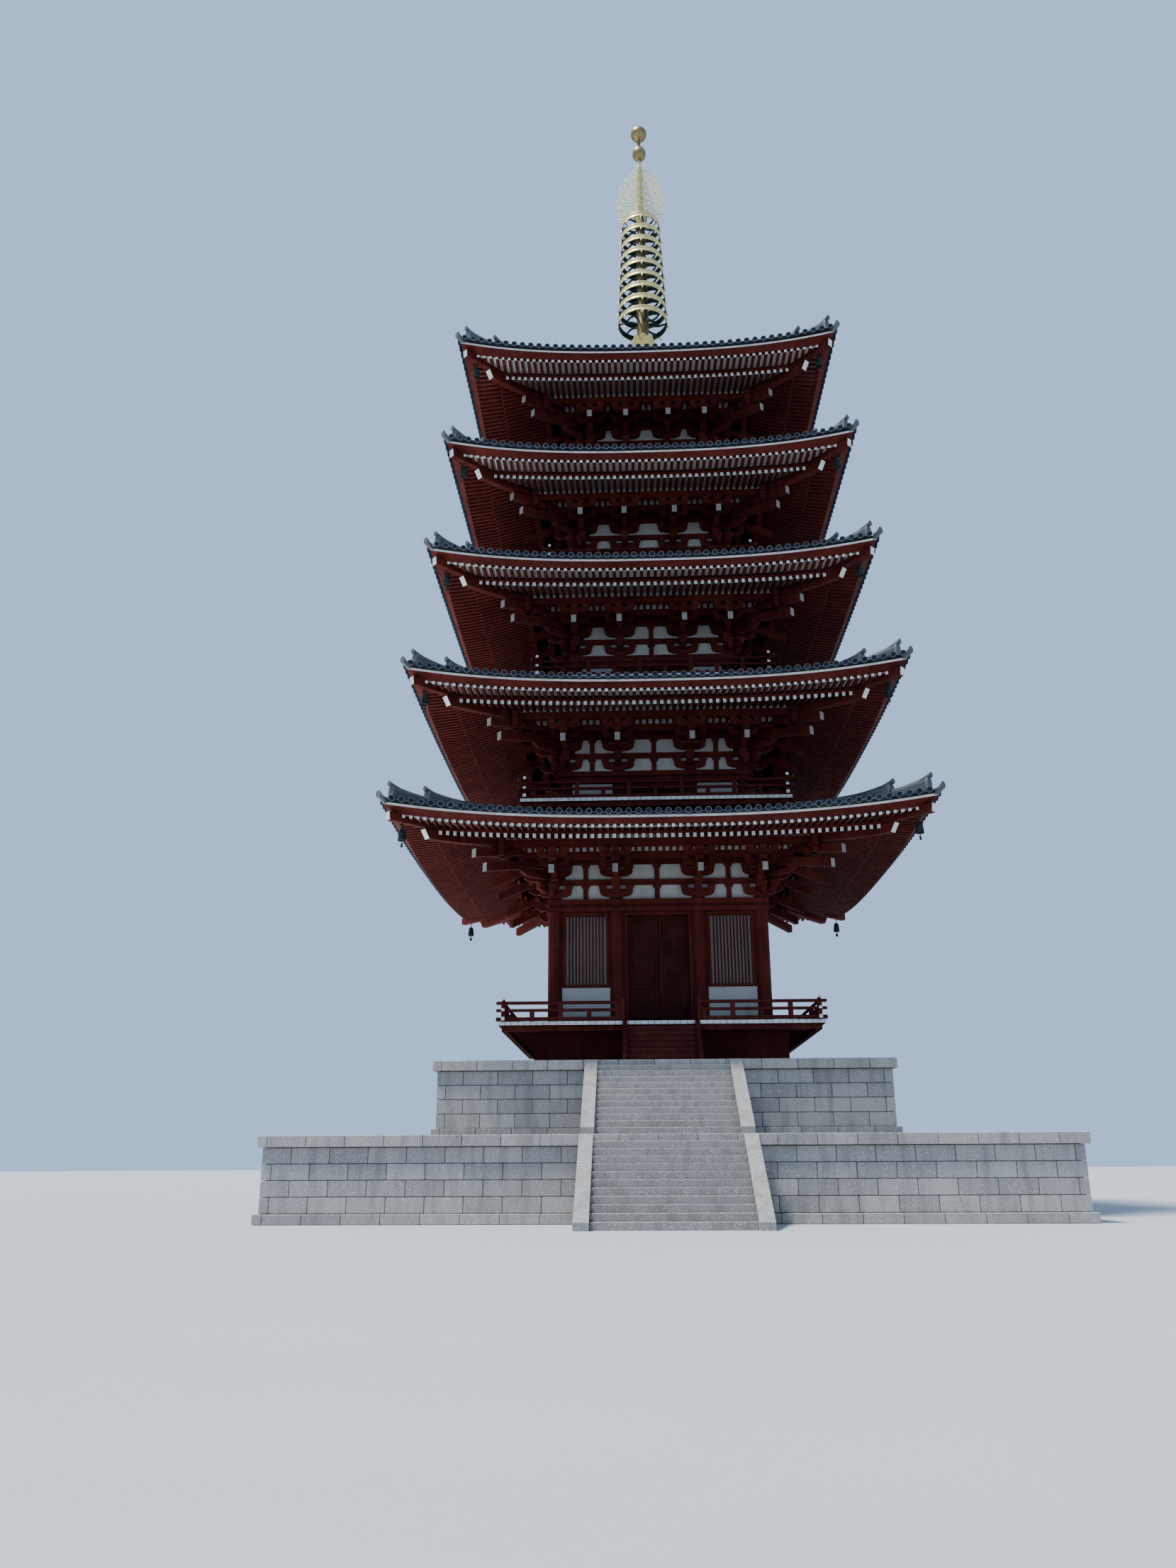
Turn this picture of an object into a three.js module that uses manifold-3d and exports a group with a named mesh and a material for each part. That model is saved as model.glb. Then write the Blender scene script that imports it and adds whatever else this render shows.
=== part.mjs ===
// A five-storey timber pagoda with a gilt spire, as a 1:2 model.
// Z points up, the origin is at ground level under the spire, and the front faces -Y.
import * as THREE from 'three';
import { mergeVertices } from 'three/addons/utils/BufferGeometryUtils.js';
import Module from 'manifold-3d';

// The model holds 500 mm for each metre of the real tower.
const MM_PER_METRE = 500;
// Clearance between pieces that bear on each other, in metres of the real tower.
const SEAT = 0.0006;

// Driving dimensions, in metres of the real tower, lowest storey first.
// Half the width of the body, measured to the column centres.
const BODY = [3.894, 3.505, 3.115, 2.856, 2.466];
// Half the width of the eave, measured to the rafter tips.
const EAVE = [9.129, 8.617, 8.061, 7.632, 7.274];
// Height of the rafter tips above the ground.
const TIP_Z = [12.709, 17.967, 23.126, 28.15, 33.138];
// Height of the balcony decks.
const DECK_Z = [6.5, 14.92, 20.25, 25.49, 30.45];
// How far each deck reaches beyond the column line.
const DECK_REACH = [1.9, 1.68, 1.665, 1.49, 1.48];
// Width of the middle bay as a share of the body's width.
const MIDDLE_BAY = [12 / 30, 11 / 27, 10 / 24, 8 / 22, 7 / 19];

const EAVE_LIFT = 0.5;
const EAVE_FLARE = 0.17;
const LIFT_CURVE = 2.6;
const STATIONS = [-1, -0.75, -0.4, 0.4, 0.75, 1];
const RAFTER_SLOPE = 0.27;
const RAFTER_DEPTH = 0.2;
const BASE_RAFTER_INSET = 1.03;

const COLUMN_RADIUS = [0.27, 0.22, 0.22, 0.21, 0.2];
const WALL_THICKNESS = 0.2;
const HEAD_BOARD = { above: -1.36, depth: 0.21, reach: 0.36, inside: 0.3 };
const DOOR_HEAD_DROP = 0.53;
const SILL_SHARE = 0.35;
const FRAME_WIDTH = 0.14;
const LINER_THICKNESS = 0.07;
const ARM_THICKNESS = 0.26;
const PURLIN = { reach: 1.87, width: 0.24, depth: 0.28 };
const DECK_THICKNESS = 0.16;
const WAIST = { reach: 0.75, thickness: 0.2 };
const RAIL = { inset: 0.17, height: 0.73, post: 0.13, bar: 0.09, gapUnder: 0.05, capRise: 0.05 };
const RAIL_BEYOND_BAY = 0.4;
const RAIL_PAST_CORNER = 0.26;

const PODIUM = {
  lowerHalf: 12.0,
  upperHalf: 7.6,
  lowerTop: 2.5,
  upperTop: 5.0,
  cap: 0.34,
  base: 0.3,
  lip: 0.14,
};
const STONE_STAIR = { width: 4.4, steps: 12, tread: 0.3, cheek: 0.42 };
const WOOD_STAIR = { width: 2.4, steps: 7, tread: 0.26, cheek: 0.16 };

const EAVE_BOARD = { reach: 0.25, top: 0.32 };
const TILE_EDGE = { reach: 0.4, top: 0.5 };
const ROOF_THICKNESS = 0.28;
const RIDGE = { width: 0.36, height: 0.42 };

const SPIRE = {
  roofTop: 37.7,
  basinTop: 38.6,
  mastTop: 50.95,
  lowBall: 51.47,
  highBall: 52.76,
  rings: 9,
  lowRing: 40.91,
  highRing: 46.74,
  lowRadius: 1.2,
  highRadius: 0.95,
  flameLow: 47.4,
  flameHigh: 50.6,
  flameReach: 1.25,
};

const COLOURS = {
  granite: { color: 0x9a9790, roughness: 0.85, metalness: 0 },
  red_timber: { color: 0x7d2a20, roughness: 0.6, metalness: 0 },
  dark_timber: { color: 0x3d1512, roughness: 0.65, metalness: 0 },
  plaster: { color: 0xcfd2c8, roughness: 0.9, metalness: 0 },
  tile: { color: 0x596270, roughness: 0.55, metalness: 0.1 },
  gilt: { color: 0xc9b571, roughness: 0.35, metalness: 0.9 },
};

const wasm = await Module();
wasm.setup();

const tower = new THREE.Group();
tower.name = 'pagoda';

function signedVolume(geometry) {
  const p = geometry.attributes.position;
  const index = geometry.index;
  const a = new THREE.Vector3();
  const b = new THREE.Vector3();
  const c = new THREE.Vector3();
  let volume = 0;
  for (let i = 0; i < index.count; i += 3) {
    a.fromBufferAttribute(p, index.getX(i));
    b.fromBufferAttribute(p, index.getX(i + 1));
    c.fromBufferAttribute(p, index.getX(i + 2));
    volume += a.dot(b.cross(c)) / 6;
  }
  return volume;
}

// Leaves only shared positions, drops triangles without area and turns the faces out.
function closed(geometry) {
  geometry.deleteAttribute('normal');
  geometry.deleteAttribute('uv');
  const merged = mergeVertices(geometry, 1e-3);
  const old = merged.index.array;
  const kept = [];
  for (let i = 0; i < old.length; i += 3) {
    const [a, b, c] = [old[i], old[i + 1], old[i + 2]];
    if (a !== b && b !== c && c !== a) kept.push(a, b, c);
  }
  merged.setIndex(kept);
  if (signedVolume(merged) < 0) {
    const flipped = [];
    for (let i = 0; i < kept.length; i += 3) flipped.push(kept[i], kept[i + 2], kept[i + 1]);
    merged.setIndex(flipped);
  }
  return merged;
}

function toManifold(geometry) {
  return new wasm.Manifold(new wasm.Mesh({
    numProp: 3,
    vertProperties: new Float32Array(geometry.attributes.position.array),
    triVerts: new Uint32Array(geometry.index.array),
  }));
}

function fromManifold(manifold) {
  const mesh = manifold.getMesh();
  const geometry = new THREE.BufferGeometry();
  geometry.setAttribute('position', new THREE.BufferAttribute(new Float32Array(mesh.vertProperties), 3));
  geometry.setIndex(Array.from(mesh.triVerts));
  return geometry;
}

// A box between two corners, given in metres of the real tower.
function box(low, high) {
  const size = high.map((value, axis) => (value - low[axis]) * MM_PER_METRE);
  const geometry = new THREE.BoxGeometry(...size);
  const middle = high.map((value, axis) => (value + low[axis]) * MM_PER_METRE / 2);
  geometry.translate(...middle);
  return closed(geometry);
}

// An outline turned round the vertical axis. The outline is [radius, height] in metres.
function turned(outline, sides) {
  const geometry = new THREE.LatheGeometry(outline.map(([r, z]) => new THREE.Vector2(r, z)), sides);
  geometry.rotateX(Math.PI / 2);
  geometry.scale(MM_PER_METRE, MM_PER_METRE, MM_PER_METRE);
  return closed(geometry);
}

// A flat outline in the vertical plane that runs outwards, with a thickness across it.
function fin(outline, thickness, holes = []) {
  const shape = new THREE.Shape(outline.map(([r, z]) => new THREE.Vector2(r, z)));
  for (const hole of holes) {
    shape.holes.push(new THREE.Path(hole.map(([r, z]) => new THREE.Vector2(r, z))));
  }
  const geometry = new THREE.ExtrudeGeometry(shape, { depth: thickness, bevelEnabled: false });
  geometry.translate(0, 0, -thickness / 2);
  geometry.rotateX(Math.PI / 2);
  geometry.scale(MM_PER_METRE, MM_PER_METRE, MM_PER_METRE);
  return geometry;
}

// How much the eave rises at a place along it, from 0 in the middle to 1 at the corner.
function liftAt(along) {
  return Math.pow(Math.abs(along), LIFT_CURVE);
}

// A square ring with corners that turn up and stand out. The outline is a closed list of
// [distance from the centre, height, share of the lift, share of the flare].
function liftedRing(outline) {
  const count = outline.length;
  const rows = STATIONS.length - 1;
  const points = [];
  for (let turn = 0; turn < 4; turn += 1) {
    const cos = Math.round(Math.cos(turn * Math.PI / 2));
    const sin = Math.round(Math.sin(turn * Math.PI / 2));
    for (const along of STATIONS.slice(0, rows)) {
      for (const [r, z, lift, flare] of outline) {
        const x = along * (r + EAVE_FLARE * flare);
        const y = -r - EAVE_FLARE * flare * liftAt(along);
        points.push(x * cos - y * sin, x * sin + y * cos, z + EAVE_LIFT * lift * liftAt(along));
      }
    }
  }
  const total = 4 * rows;
  const faces = [];
  for (let s = 0; s < total; s += 1) {
    const here = s * count;
    const ahead = ((s + 1) % total) * count;
    for (let i = 0; i < count; i += 1) {
      const next = (i + 1) % count;
      faces.push(here + i, here + next, ahead + i);
      faces.push(here + next, ahead + next, ahead + i);
    }
  }
  const geometry = new THREE.BufferGeometry();
  geometry.setAttribute('position', new THREE.Float32BufferAttribute(points, 3));
  geometry.setIndex(faces);
  geometry.scale(MM_PER_METRE, MM_PER_METRE, MM_PER_METRE);
  return closed(geometry);
}

// A level square ring or block. The outline is [half width, height] and closes on itself,
// or starts and ends at half width 0.
function squareTurned(outline) {
  const points = outline.map(([r, z]) => new THREE.Vector2(r * Math.SQRT2, z));
  if (outline[0][0] > 0) points.push(points[0].clone());
  const geometry = new THREE.LatheGeometry(points, 4);
  geometry.rotateX(Math.PI / 2);
  geometry.rotateZ(Math.PI / 4);
  geometry.scale(MM_PER_METRE, MM_PER_METRE, MM_PER_METRE);
  return closed(geometry);
}

function squareFrame(inner, outer, low, high) {
  return squareTurned([[inner, low], [outer, low], [outer, high], [inner, high]]);
}

// The four like copies round the vertical axis, turned without any rounding.
function quarterTurns(geometry) {
  return [[1, 0], [0, 1], [-1, 0], [0, -1]].map(([cos, sin]) => {
    const copy = geometry.clone();
    const p = copy.attributes.position;
    for (let i = 0; i < p.count; i += 1) {
      const x = p.getX(i);
      const y = p.getY(i);
      p.setXY(i, x * cos - y * sin, x * sin + y * cos);
    }
    return copy;
  });
}

// Joins overlapping pieces into one body.
function joined(geometries) {
  let solid = toManifold(geometries[0]);
  for (const geometry of geometries.slice(1)) solid = solid.add(toManifold(geometry));
  return fromManifold(solid);
}

function cut(geometry, tools) {
  let solid = toManifold(geometry);
  for (const tool of tools) solid = solid.subtract(toManifold(tool));
  return fromManifold(solid);
}

function addNode(name, finish, geometry) {
  const bare = new THREE.BufferGeometry();
  bare.setAttribute('position', geometry.attributes.position);
  bare.setIndex(geometry.index);
  bare.computeVertexNormals();
  const mesh = new THREE.Mesh(bare, new THREE.MeshStandardMaterial(COLOURS[finish]));
  mesh.name = name;
  tower.add(mesh);
}

// Podium: two square terraces of dressed granite, each with a base course and a cap course.
function terrace(half, low, high) {
  const { cap, base, lip } = PODIUM;
  return squareTurned([
    [0, low],
    [half + lip, low],
    [half + lip, low + base],
    [half, low + base],
    [half, high - cap],
    [half + lip, high - cap],
    [half + lip, high],
    [0, high],
  ]);
}

addNode('podium_lower', 'granite', terrace(PODIUM.lowerHalf, 0, PODIUM.lowerTop));
addNode('podium_upper', 'granite', terrace(PODIUM.upperHalf, PODIUM.lowerTop + SEAT, PODIUM.upperTop));

// A stair against a wall at the front: steps between two sloping cheeks.
function flight({ face, low, high, steps, tread, width, cheek }) {
  const rise = (high - low) / steps;
  const run = tread * (steps - 1);
  const stepped = [[face, low], [face + run, low]];
  for (let i = 0; i < steps - 1; i += 1) {
    stepped.push([face + run - i * tread, low + (i + 1) * rise]);
    stepped.push([face + run - (i + 1) * tread, low + (i + 1) * rise]);
  }
  const slope = [
    [face, low],
    [face + run + tread, low],
    [face + run + tread, low + rise],
    [face, high],
  ];
  const parts = [closed(fin(stepped, width + cheek)).rotateZ(-Math.PI / 2)];
  for (const side of [-1, 1]) {
    const at = side * (width + cheek) / 2 * MM_PER_METRE;
    parts.push(closed(fin(slope, cheek)).rotateZ(-Math.PI / 2).translate(at, 0, 0));
  }
  return joined(parts);
}

addNode('stone_stair_lower', 'granite', flight({
  ...STONE_STAIR,
  face: PODIUM.lowerHalf + PODIUM.lip + SEAT,
  low: 0,
  high: PODIUM.lowerTop,
}));
addNode('stone_stair_upper', 'granite', flight({
  ...STONE_STAIR,
  face: PODIUM.upperHalf + PODIUM.lip + SEAT,
  low: PODIUM.lowerTop + SEAT,
  high: PODIUM.upperTop,
}));
addNode('wooden_stair', 'red_timber', flight({
  ...WOOD_STAIR,
  face: BODY[0] + DECK_REACH[0] + SEAT,
  low: PODIUM.upperTop + SEAT,
  high: DECK_Z[0],
}));

// Height of the underside of the base rafters, which rises from their tips to the body.
function rafterUnderside(level, r) {
  return TIP_Z[level] - RAFTER_DEPTH / 2 + (EAVE[level] - BASE_RAFTER_INSET - r) * RAFTER_SLOPE;
}

// Share of the corner lift at a distance from the centre: none at the body, all at the eave.
function liftShare(level, r) {
  const share = (Math.min(r, EAVE[level]) - BODY[level]) / (EAVE[level] - BODY[level]);
  return Math.pow(Math.max(0, share), 3.2);
}

// Top of the level seat at the inner end of the rafters, which carries the storey above.
const SEAT_RISE = 0.05;
const SEAT_WIDTH = 0.5;
function seatZ(level) {
  return rafterUnderside(level, BODY[level]) + RAFTER_DEPTH + SEAT_RISE;
}

// Balcony: a deck over the whole body, on four waist boards that stand on the roof below.
function balcony(level) {
  const out = BODY[level] + WAIST.reach;
  const low = (level === 0 ? PODIUM.upperTop : seatZ(level - 1)) + SEAT;
  const underside = DECK_Z[level] - DECK_THICKNESS;
  const half = BODY[level] + DECK_REACH[level];
  return squareTurned([
    [0, underside],
    [out - WAIST.thickness, underside],
    [out - WAIST.thickness, low],
    [out, low],
    [out, underside],
    [half, underside],
    [half, DECK_Z[level]],
    [0, DECK_Z[level]],
  ]);
}

// Railing: posts round the deck with a bottom rail and a top rail let into them, which cross and
// run on past the corners. On the first storey it opens at the head of the wooden stair.
function railing(level) {
  const at = BODY[level] + DECK_REACH[level] - RAIL.inset;
  const inner = BODY[level] * MIDDLE_BAY[level] + RAIL_BEYOND_BAY;
  const end = at + RAIL_PAST_CORNER;
  const low = DECK_Z[level] + SEAT;
  const top = DECK_Z[level] + RAIL.height;
  const half = RAIL.post / 2;
  const rail = RAIL.bar / 2;
  const post = (x) => box([x - half, -at - half, low], [x + half, -at + half, top + RAIL.capRise]);
  const bar = (z) => box([-end, -at - rail, z], [end, -at + rail, z + RAIL.bar]);
  let rails = joined([
    ...quarterTurns(bar(low + RAIL.gapUnder)),
    ...quarterTurns(bar(top - RAIL.bar)),
    ...quarterTurns(post(at)),
  ]);
  const sides = level === 0 ? [1, 2, 3] : [0, 1, 2, 3];
  const posts = [];
  for (const x of [-inner, inner]) {
    const turns = quarterTurns(post(x));
    posts.push(...sides.map((side) => turns[side]));
  }
  if (level === 0) {
    const gap = WOOD_STAIR.width / 2 + WOOD_STAIR.cheek;
    rails = cut(rails, [box([-gap, -at - 1, low - 1], [gap, -at + 1, top + 1])]);
    posts.push(post(-gap), post(gap));
  }
  return joined([rails, ...posts]);
}

// Plan of the walls: a square with a round column standing out at each bay line and corner.
function wallPlan(level) {
  const body = BODY[level];
  const radius = COLUMN_RADIUS[level];
  const sink = Math.asin(WALL_THICKNESS / 2 / radius);
  const middle = body * MIDDLE_BAY[level];
  const arc = (x, sweepEnd, steps) => {
    const points = [];
    for (let i = 0; i <= steps; i += 1) {
      const angle = Math.PI + sink + (i / steps) * (sweepEnd - Math.PI - 2 * sink);
      points.push([x + radius * Math.cos(angle), -body + radius * Math.sin(angle)]);
    }
    return points;
  };
  const side = [
    ...arc(-middle, 2 * Math.PI, 4),
    ...arc(middle, 2 * Math.PI, 4),
    ...arc(body, 2.5 * Math.PI, 6),
  ];
  const plan = [];
  for (const [cos, sin] of [[1, 0], [0, 1], [-1, 0], [0, -1]]) {
    for (const [x, y] of side) plan.push(new THREE.Vector2(x * cos - y * sin, x * sin + y * cos));
  }
  return plan;
}

// Walls with engaged columns. The middle bays have a doorway, and on the first storey the bays
// beside it have a window.
function walls(level) {
  const body = BODY[level];
  const radius = COLUMN_RADIUS[level];
  const low = DECK_Z[level] + SEAT;
  const top = TIP_Z[level] + HEAD_BOARD.above - HEAD_BOARD.depth - SEAT;
  const places = columnPlaces(level);
  const { doorFoot, sill, head } = openingHeights(level);
  const inner = body - WALL_THICKNESS / 2;
  const shape = new THREE.Shape(wallPlan(level));
  const room = [[-inner, -inner], [-inner, inner], [inner, inner], [inner, -inner]];
  shape.holes.push(new THREE.Path(room.map(([x, y]) => new THREE.Vector2(x, y))));
  const geometry = new THREE.ExtrudeGeometry(shape, { depth: top - low, bevelEnabled: false });
  geometry.translate(0, 0, low);
  geometry.scale(MM_PER_METRE, MM_PER_METRE, MM_PER_METRE);
  const openings = (level === 0 ? [0, 1, 2] : [1]).map((bay) => {
    const x0 = places[bay] + radius + FRAME_WIDTH;
    const x1 = places[bay + 1] - radius - FRAME_WIDTH;
    return box([x0, -body - 1, bay === 1 ? doorFoot : sill], [x1, -body + 1, head]);
  });
  return cut(closed(geometry), openings.flatMap(quarterTurns));
}

function columnPlaces(level) {
  const middle = BODY[level] * MIDDLE_BAY[level];
  return [-BODY[level], -middle, middle, BODY[level]];
}

function openingHeights(level) {
  const deck = DECK_Z[level];
  const head = TIP_Z[level] + HEAD_BOARD.above - DOOR_HEAD_DROP;
  return { doorFoot: deck + 0.08, sill: deck + SILL_SHARE * (head - deck), head };
}

// Door leaves and window panels of one storey, as one sheet that lines the walls inside.
function doorsAndWindows(level) {
  const outer = BODY[level] - WALL_THICKNESS / 2 - SEAT;
  const top = TIP_Z[level] + HEAD_BOARD.above - SEAT;
  return squareFrame(outer - LINER_THICKNESS, outer, DECK_Z[level] + SEAT, top - HEAD_BOARD.depth);
}

// Head band: the flat head board on the columns and the plastered wall band that stands on it.
function headBand(level) {
  const body = BODY[level];
  const board = TIP_Z[level] + HEAD_BOARD.above;
  const bandHalf = WALL_THICKNESS / 2;
  return squareTurned([
    [body - HEAD_BOARD.inside, board - HEAD_BOARD.depth],
    [body + HEAD_BOARD.reach, board - HEAD_BOARD.depth],
    [body + HEAD_BOARD.reach, board],
    [body + bandHalf, board],
    [body + bandHalf, rafterUnderside(level, body + bandHalf) - SEAT],
    [body - bandHalf, rafterUnderside(level, body + bandHalf) - SEAT],
    [body - bandHalf, board],
    [body - HEAD_BOARD.inside, board],
  ]);
}

// Brackets: stepped arms that stand on the head board against the wall band, and the square purlin
// that they carry. The outline gives an arm's reach from the column line and its heights.
const ARM = {
  stepOut: 1.3,
  stepUp: 0.62,
  tailReach: 2.44,
  tailLow: -0.8,
  tailHigh: -0.56,
  seatOuter: 1.93,
  seatInner: 1.8,
  seatBack: -0.38,
  foot: 0.34,
  top: 0.1,
};

function brackets(level) {
  const body = BODY[level];
  const tip = TIP_Z[level];
  const foot = tip + HEAD_BOARD.above + SEAT;
  const out = body + PURLIN.reach + PURLIN.width / 2;
  const purlinTop = rafterUnderside(level, out) - SEAT;
  const purlinLow = purlinTop - PURLIN.depth;
  const letIn = purlinLow + PURLIN.depth / 3;
  const back = WALL_THICKNESS / 2 + SEAT;
  function arm(stretch) {
    const at = (reach) => (body + reach) * stretch;
    return closed(fin([
      [at(back), foot],
      [at(ARM.foot), foot],
      [at(ARM.stepOut), foot + ARM.stepUp],
      [at(ARM.tailReach), tip + ARM.tailLow],
      [at(ARM.tailReach), tip + ARM.tailHigh],
      [at(ARM.seatOuter), tip + ARM.seatBack],
      [at(ARM.seatOuter), letIn],
      [at(ARM.seatInner), letIn],
      [at(back), tip + ARM.top],
    ], ARM_THICKNESS)).rotateZ(-Math.PI / 2);
  }
  const parts = [squareFrame(out - PURLIN.width, out, purlinLow, purlinTop)];
  const middle = body * MIDDLE_BAY[level];
  for (const x of [-middle, middle]) {
    parts.push(...quarterTurns(arm(1).translate(x * MM_PER_METRE, 0, 0)));
  }
  parts.push(...quarterTurns(arm(Math.SQRT2).rotateZ(Math.PI / 4)));
  return joined(parts);
}

// Eaves: base rafters, then flying rafters, then the eave boards along the edge.
const EAVE_FLOOR = 0.05;
const STEP_DROP = 0.09;
const EDGE = { noseLow: 0.22, noseOut: 0.06, back: 0.05 };

function eaves(level) {
  const body = BODY[level];
  const tip = TIP_Z[level];
  const eave = EAVE[level];
  const step = eave - BASE_RAFTER_INSET;
  const out = body + PURLIN.reach + PURLIN.width / 2;
  const inner = body - WALL_THICKNESS / 2;
  const under = (r) => rafterUnderside(level, r);
  const share = (r) => liftShare(level, r);
  return liftedRing([
    [eave + EAVE_BOARD.reach, tip + EAVE_BOARD.top, 1, 1],
    [eave + EAVE_BOARD.reach, tip + EDGE.noseLow, 1, 1],
    [eave + EDGE.noseOut, tip - RAFTER_DEPTH / 2, 1, 0],
    [step, tip + STEP_DROP, share(step), 0],
    [step, under(step), share(step), 0],
    [out, under(out), 0, 0],
    [inner, under(inner), 0, 0],
    [inner, seatZ(level), 0, 0],
    [body + SEAT_WIDTH, seatZ(level), 0, 0],
    [step, under(step) + RAFTER_DEPTH + EAVE_FLOOR, share(step), 0],
    [eave - EDGE.back, tip + EAVE_BOARD.top, 1, 0],
  ]);
}

// Roof: a hollow-curved tiled shell whose corners turn up, with a ridge over each hip. The shares
// run from 0 at the eave to 1 at the top, and the last stretch of the top roof is level.
const ROOF_LIFT = { most: 1.2, fade: 1.6 };
const FLARE_FADE = 3;
const ROOF_HEAD_DROP = 0.45;
const PEAK = { half: 0.5, levelFrom: 0.94, bow: 0.45 };
const LOWER_BOW = 0.1;
const NOSE = { rise: 0.36, lift: 1.1 };
const RIDGE_SINK = 0.15;
const TOP_SHARES = [0, 0.25, 0.5, 0.75, PEAK.levelFrom];
const LOWER_SHARES = [0, 0.33, 0.66, 1];
const TOP_RIDGE_SHARES = [0.02, 0.25, 0.5, 0.75, 0.9];
const LOWER_RIDGE_SHARES = [0.02, 0.33, 0.97];

function roof(level) {
  const isTop = level === BODY.length - 1;
  const inner = isTop ? PEAK.half : BODY[level + 1] + WAIST.reach + SEAT;
  const innerZ = isTop ? SPIRE.roofTop : DECK_Z[level + 1] - ROOF_HEAD_DROP;
  const outer = EAVE[level] + TILE_EDGE.reach;
  const outerZ = TIP_Z[level] + TILE_EDGE.top;
  const bow = isTop ? PEAK.bow : LOWER_BOW;
  const rAt = (share) => outer + (inner - outer) * share;
  const zAt = (share) => outerZ + (innerZ - outerZ) * share - bow * Math.sin(Math.PI * share);
  const liftOf = (share) => ROOF_LIFT.most * Math.pow(1 - share, ROOF_LIFT.fade);
  const shares = isTop ? TOP_SHARES : LOWER_SHARES;
  const flareOf = (share) => Math.pow(1 - share, FLARE_FADE);
  const upper = shares.map((share) => [rAt(share), zAt(share), liftOf(share), flareOf(share)]);
  if (isTop) {
    upper.pop();
    upper.push([rAt(PEAK.levelFrom), innerZ, 0, 0], [inner, innerZ, 0, 0]);
  }
  const lower = upper.slice(1).map(([r, z, ...shares]) => [r, z - ROOF_THICKNESS, ...shares]).reverse();
  const bearing = TIP_Z[level] + EAVE_BOARD.top + SEAT;
  const parts = [liftedRing([
    ...upper,
    ...lower,
    [EAVE[level] - EDGE.back, bearing, 1, 0],
    [EAVE[level] + EAVE_BOARD.reach, bearing, 1, 1],
    [outer, TIP_Z[level] + NOSE.rise, NOSE.lift, 1],
  ])];
  const path = (isTop ? TOP_RIDGE_SHARES : LOWER_RIDGE_SHARES).map((share) => {
    const corner = rAt(share) + EAVE_FLARE * flareOf(share);
    return [corner * Math.SQRT2, zAt(share) + EAVE_LIFT * liftOf(share)];
  });
  // The ridge runs in under the balcony of the storey above, so its top stays below that deck.
  const limit = isTop ? Infinity : DECK_Z[level + 1] - DECK_THICKNESS - SEAT;
  const ridge = closed(fin([
    ...path.map(([d, z]) => [d, z - RIDGE_SINK]),
    ...path.map(([d, z]) => [d, Math.min(z + RIDGE.height, limit)]).reverse(),
  ], RIDGE.width)).rotateZ(-Math.PI / 4);
  parts.push(...quarterTurns(ridge));
  return joined(parts);
}

for (let level = 0; level < BODY.length; level += 1) {
  const storey = `storey${level + 1}`;
  addNode(`${storey}_balcony`, 'red_timber', balcony(level));
  addNode(`${storey}_railing`, 'red_timber', railing(level));
  addNode(`${storey}_walls`, 'red_timber', walls(level));
  addNode(`${storey}_doors_windows`, 'dark_timber', doorsAndWindows(level));
  addNode(`${storey}_head_band`, 'plaster', headBand(level));
  addNode(`${storey}_brackets`, 'red_timber', brackets(level));
  addNode(`${storey}_eaves`, 'red_timber', eaves(level));
  addNode(`${storey}_roof`, 'tile', roof(level));
}

// Spire: dew basin, inverted bowl, lotus petals, mast with nine rings, openwork flames and two balls.
const BASIN = { half: 0.78, lipHalf: 0.88, lipDepth: 0.14 };
const BOWL = { radius: 0.72, rise: 0.7, sweep: 0.43 * Math.PI, steps: 4, sides: 12 };

addNode('dew_basin', 'gilt', squareTurned([
  [0, SPIRE.roofTop + SEAT],
  [BASIN.half, SPIRE.roofTop + SEAT],
  [BASIN.half, SPIRE.basinTop - BASIN.lipDepth],
  [BASIN.lipHalf, SPIRE.basinTop - BASIN.lipDepth],
  [BASIN.lipHalf, SPIRE.basinTop],
  [0, SPIRE.basinTop],
]));

const bowl = [[0, SPIRE.basinTop + SEAT]];
for (let i = 0; i <= BOWL.steps; i += 1) {
  const angle = (i / BOWL.steps) * BOWL.sweep;
  bowl.push([BOWL.radius * Math.cos(angle), SPIRE.basinTop + SEAT + BOWL.rise * Math.sin(angle)]);
}
const bowlTop = bowl[bowl.length - 1][1];
bowl.push([0, bowlTop]);
addNode('inverted_bowl', 'gilt', turned(bowl, BOWL.sides));

// The petals open outwards from a narrow foot. Each pair is [radius, height above the bowl].
const PETALS = {
  foot: [0.22, SEAT],
  belly: [0.5, 0.22],
  tip: [0.62, 0.5],
  inside: [0.4, 0.42],
  seat: [0.32, 0.36],
  sides: 12,
};
const petalSeat = bowlTop + PETALS.seat[1];
const petals = [PETALS.foot, PETALS.belly, PETALS.tip, PETALS.inside, PETALS.seat];
addNode('lotus_petals', 'gilt', turned([
  [0, bowlTop + SEAT],
  ...petals.map(([r, z]) => [r, bowlTop + z]),
  [0, petalSeat],
], PETALS.sides));

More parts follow.
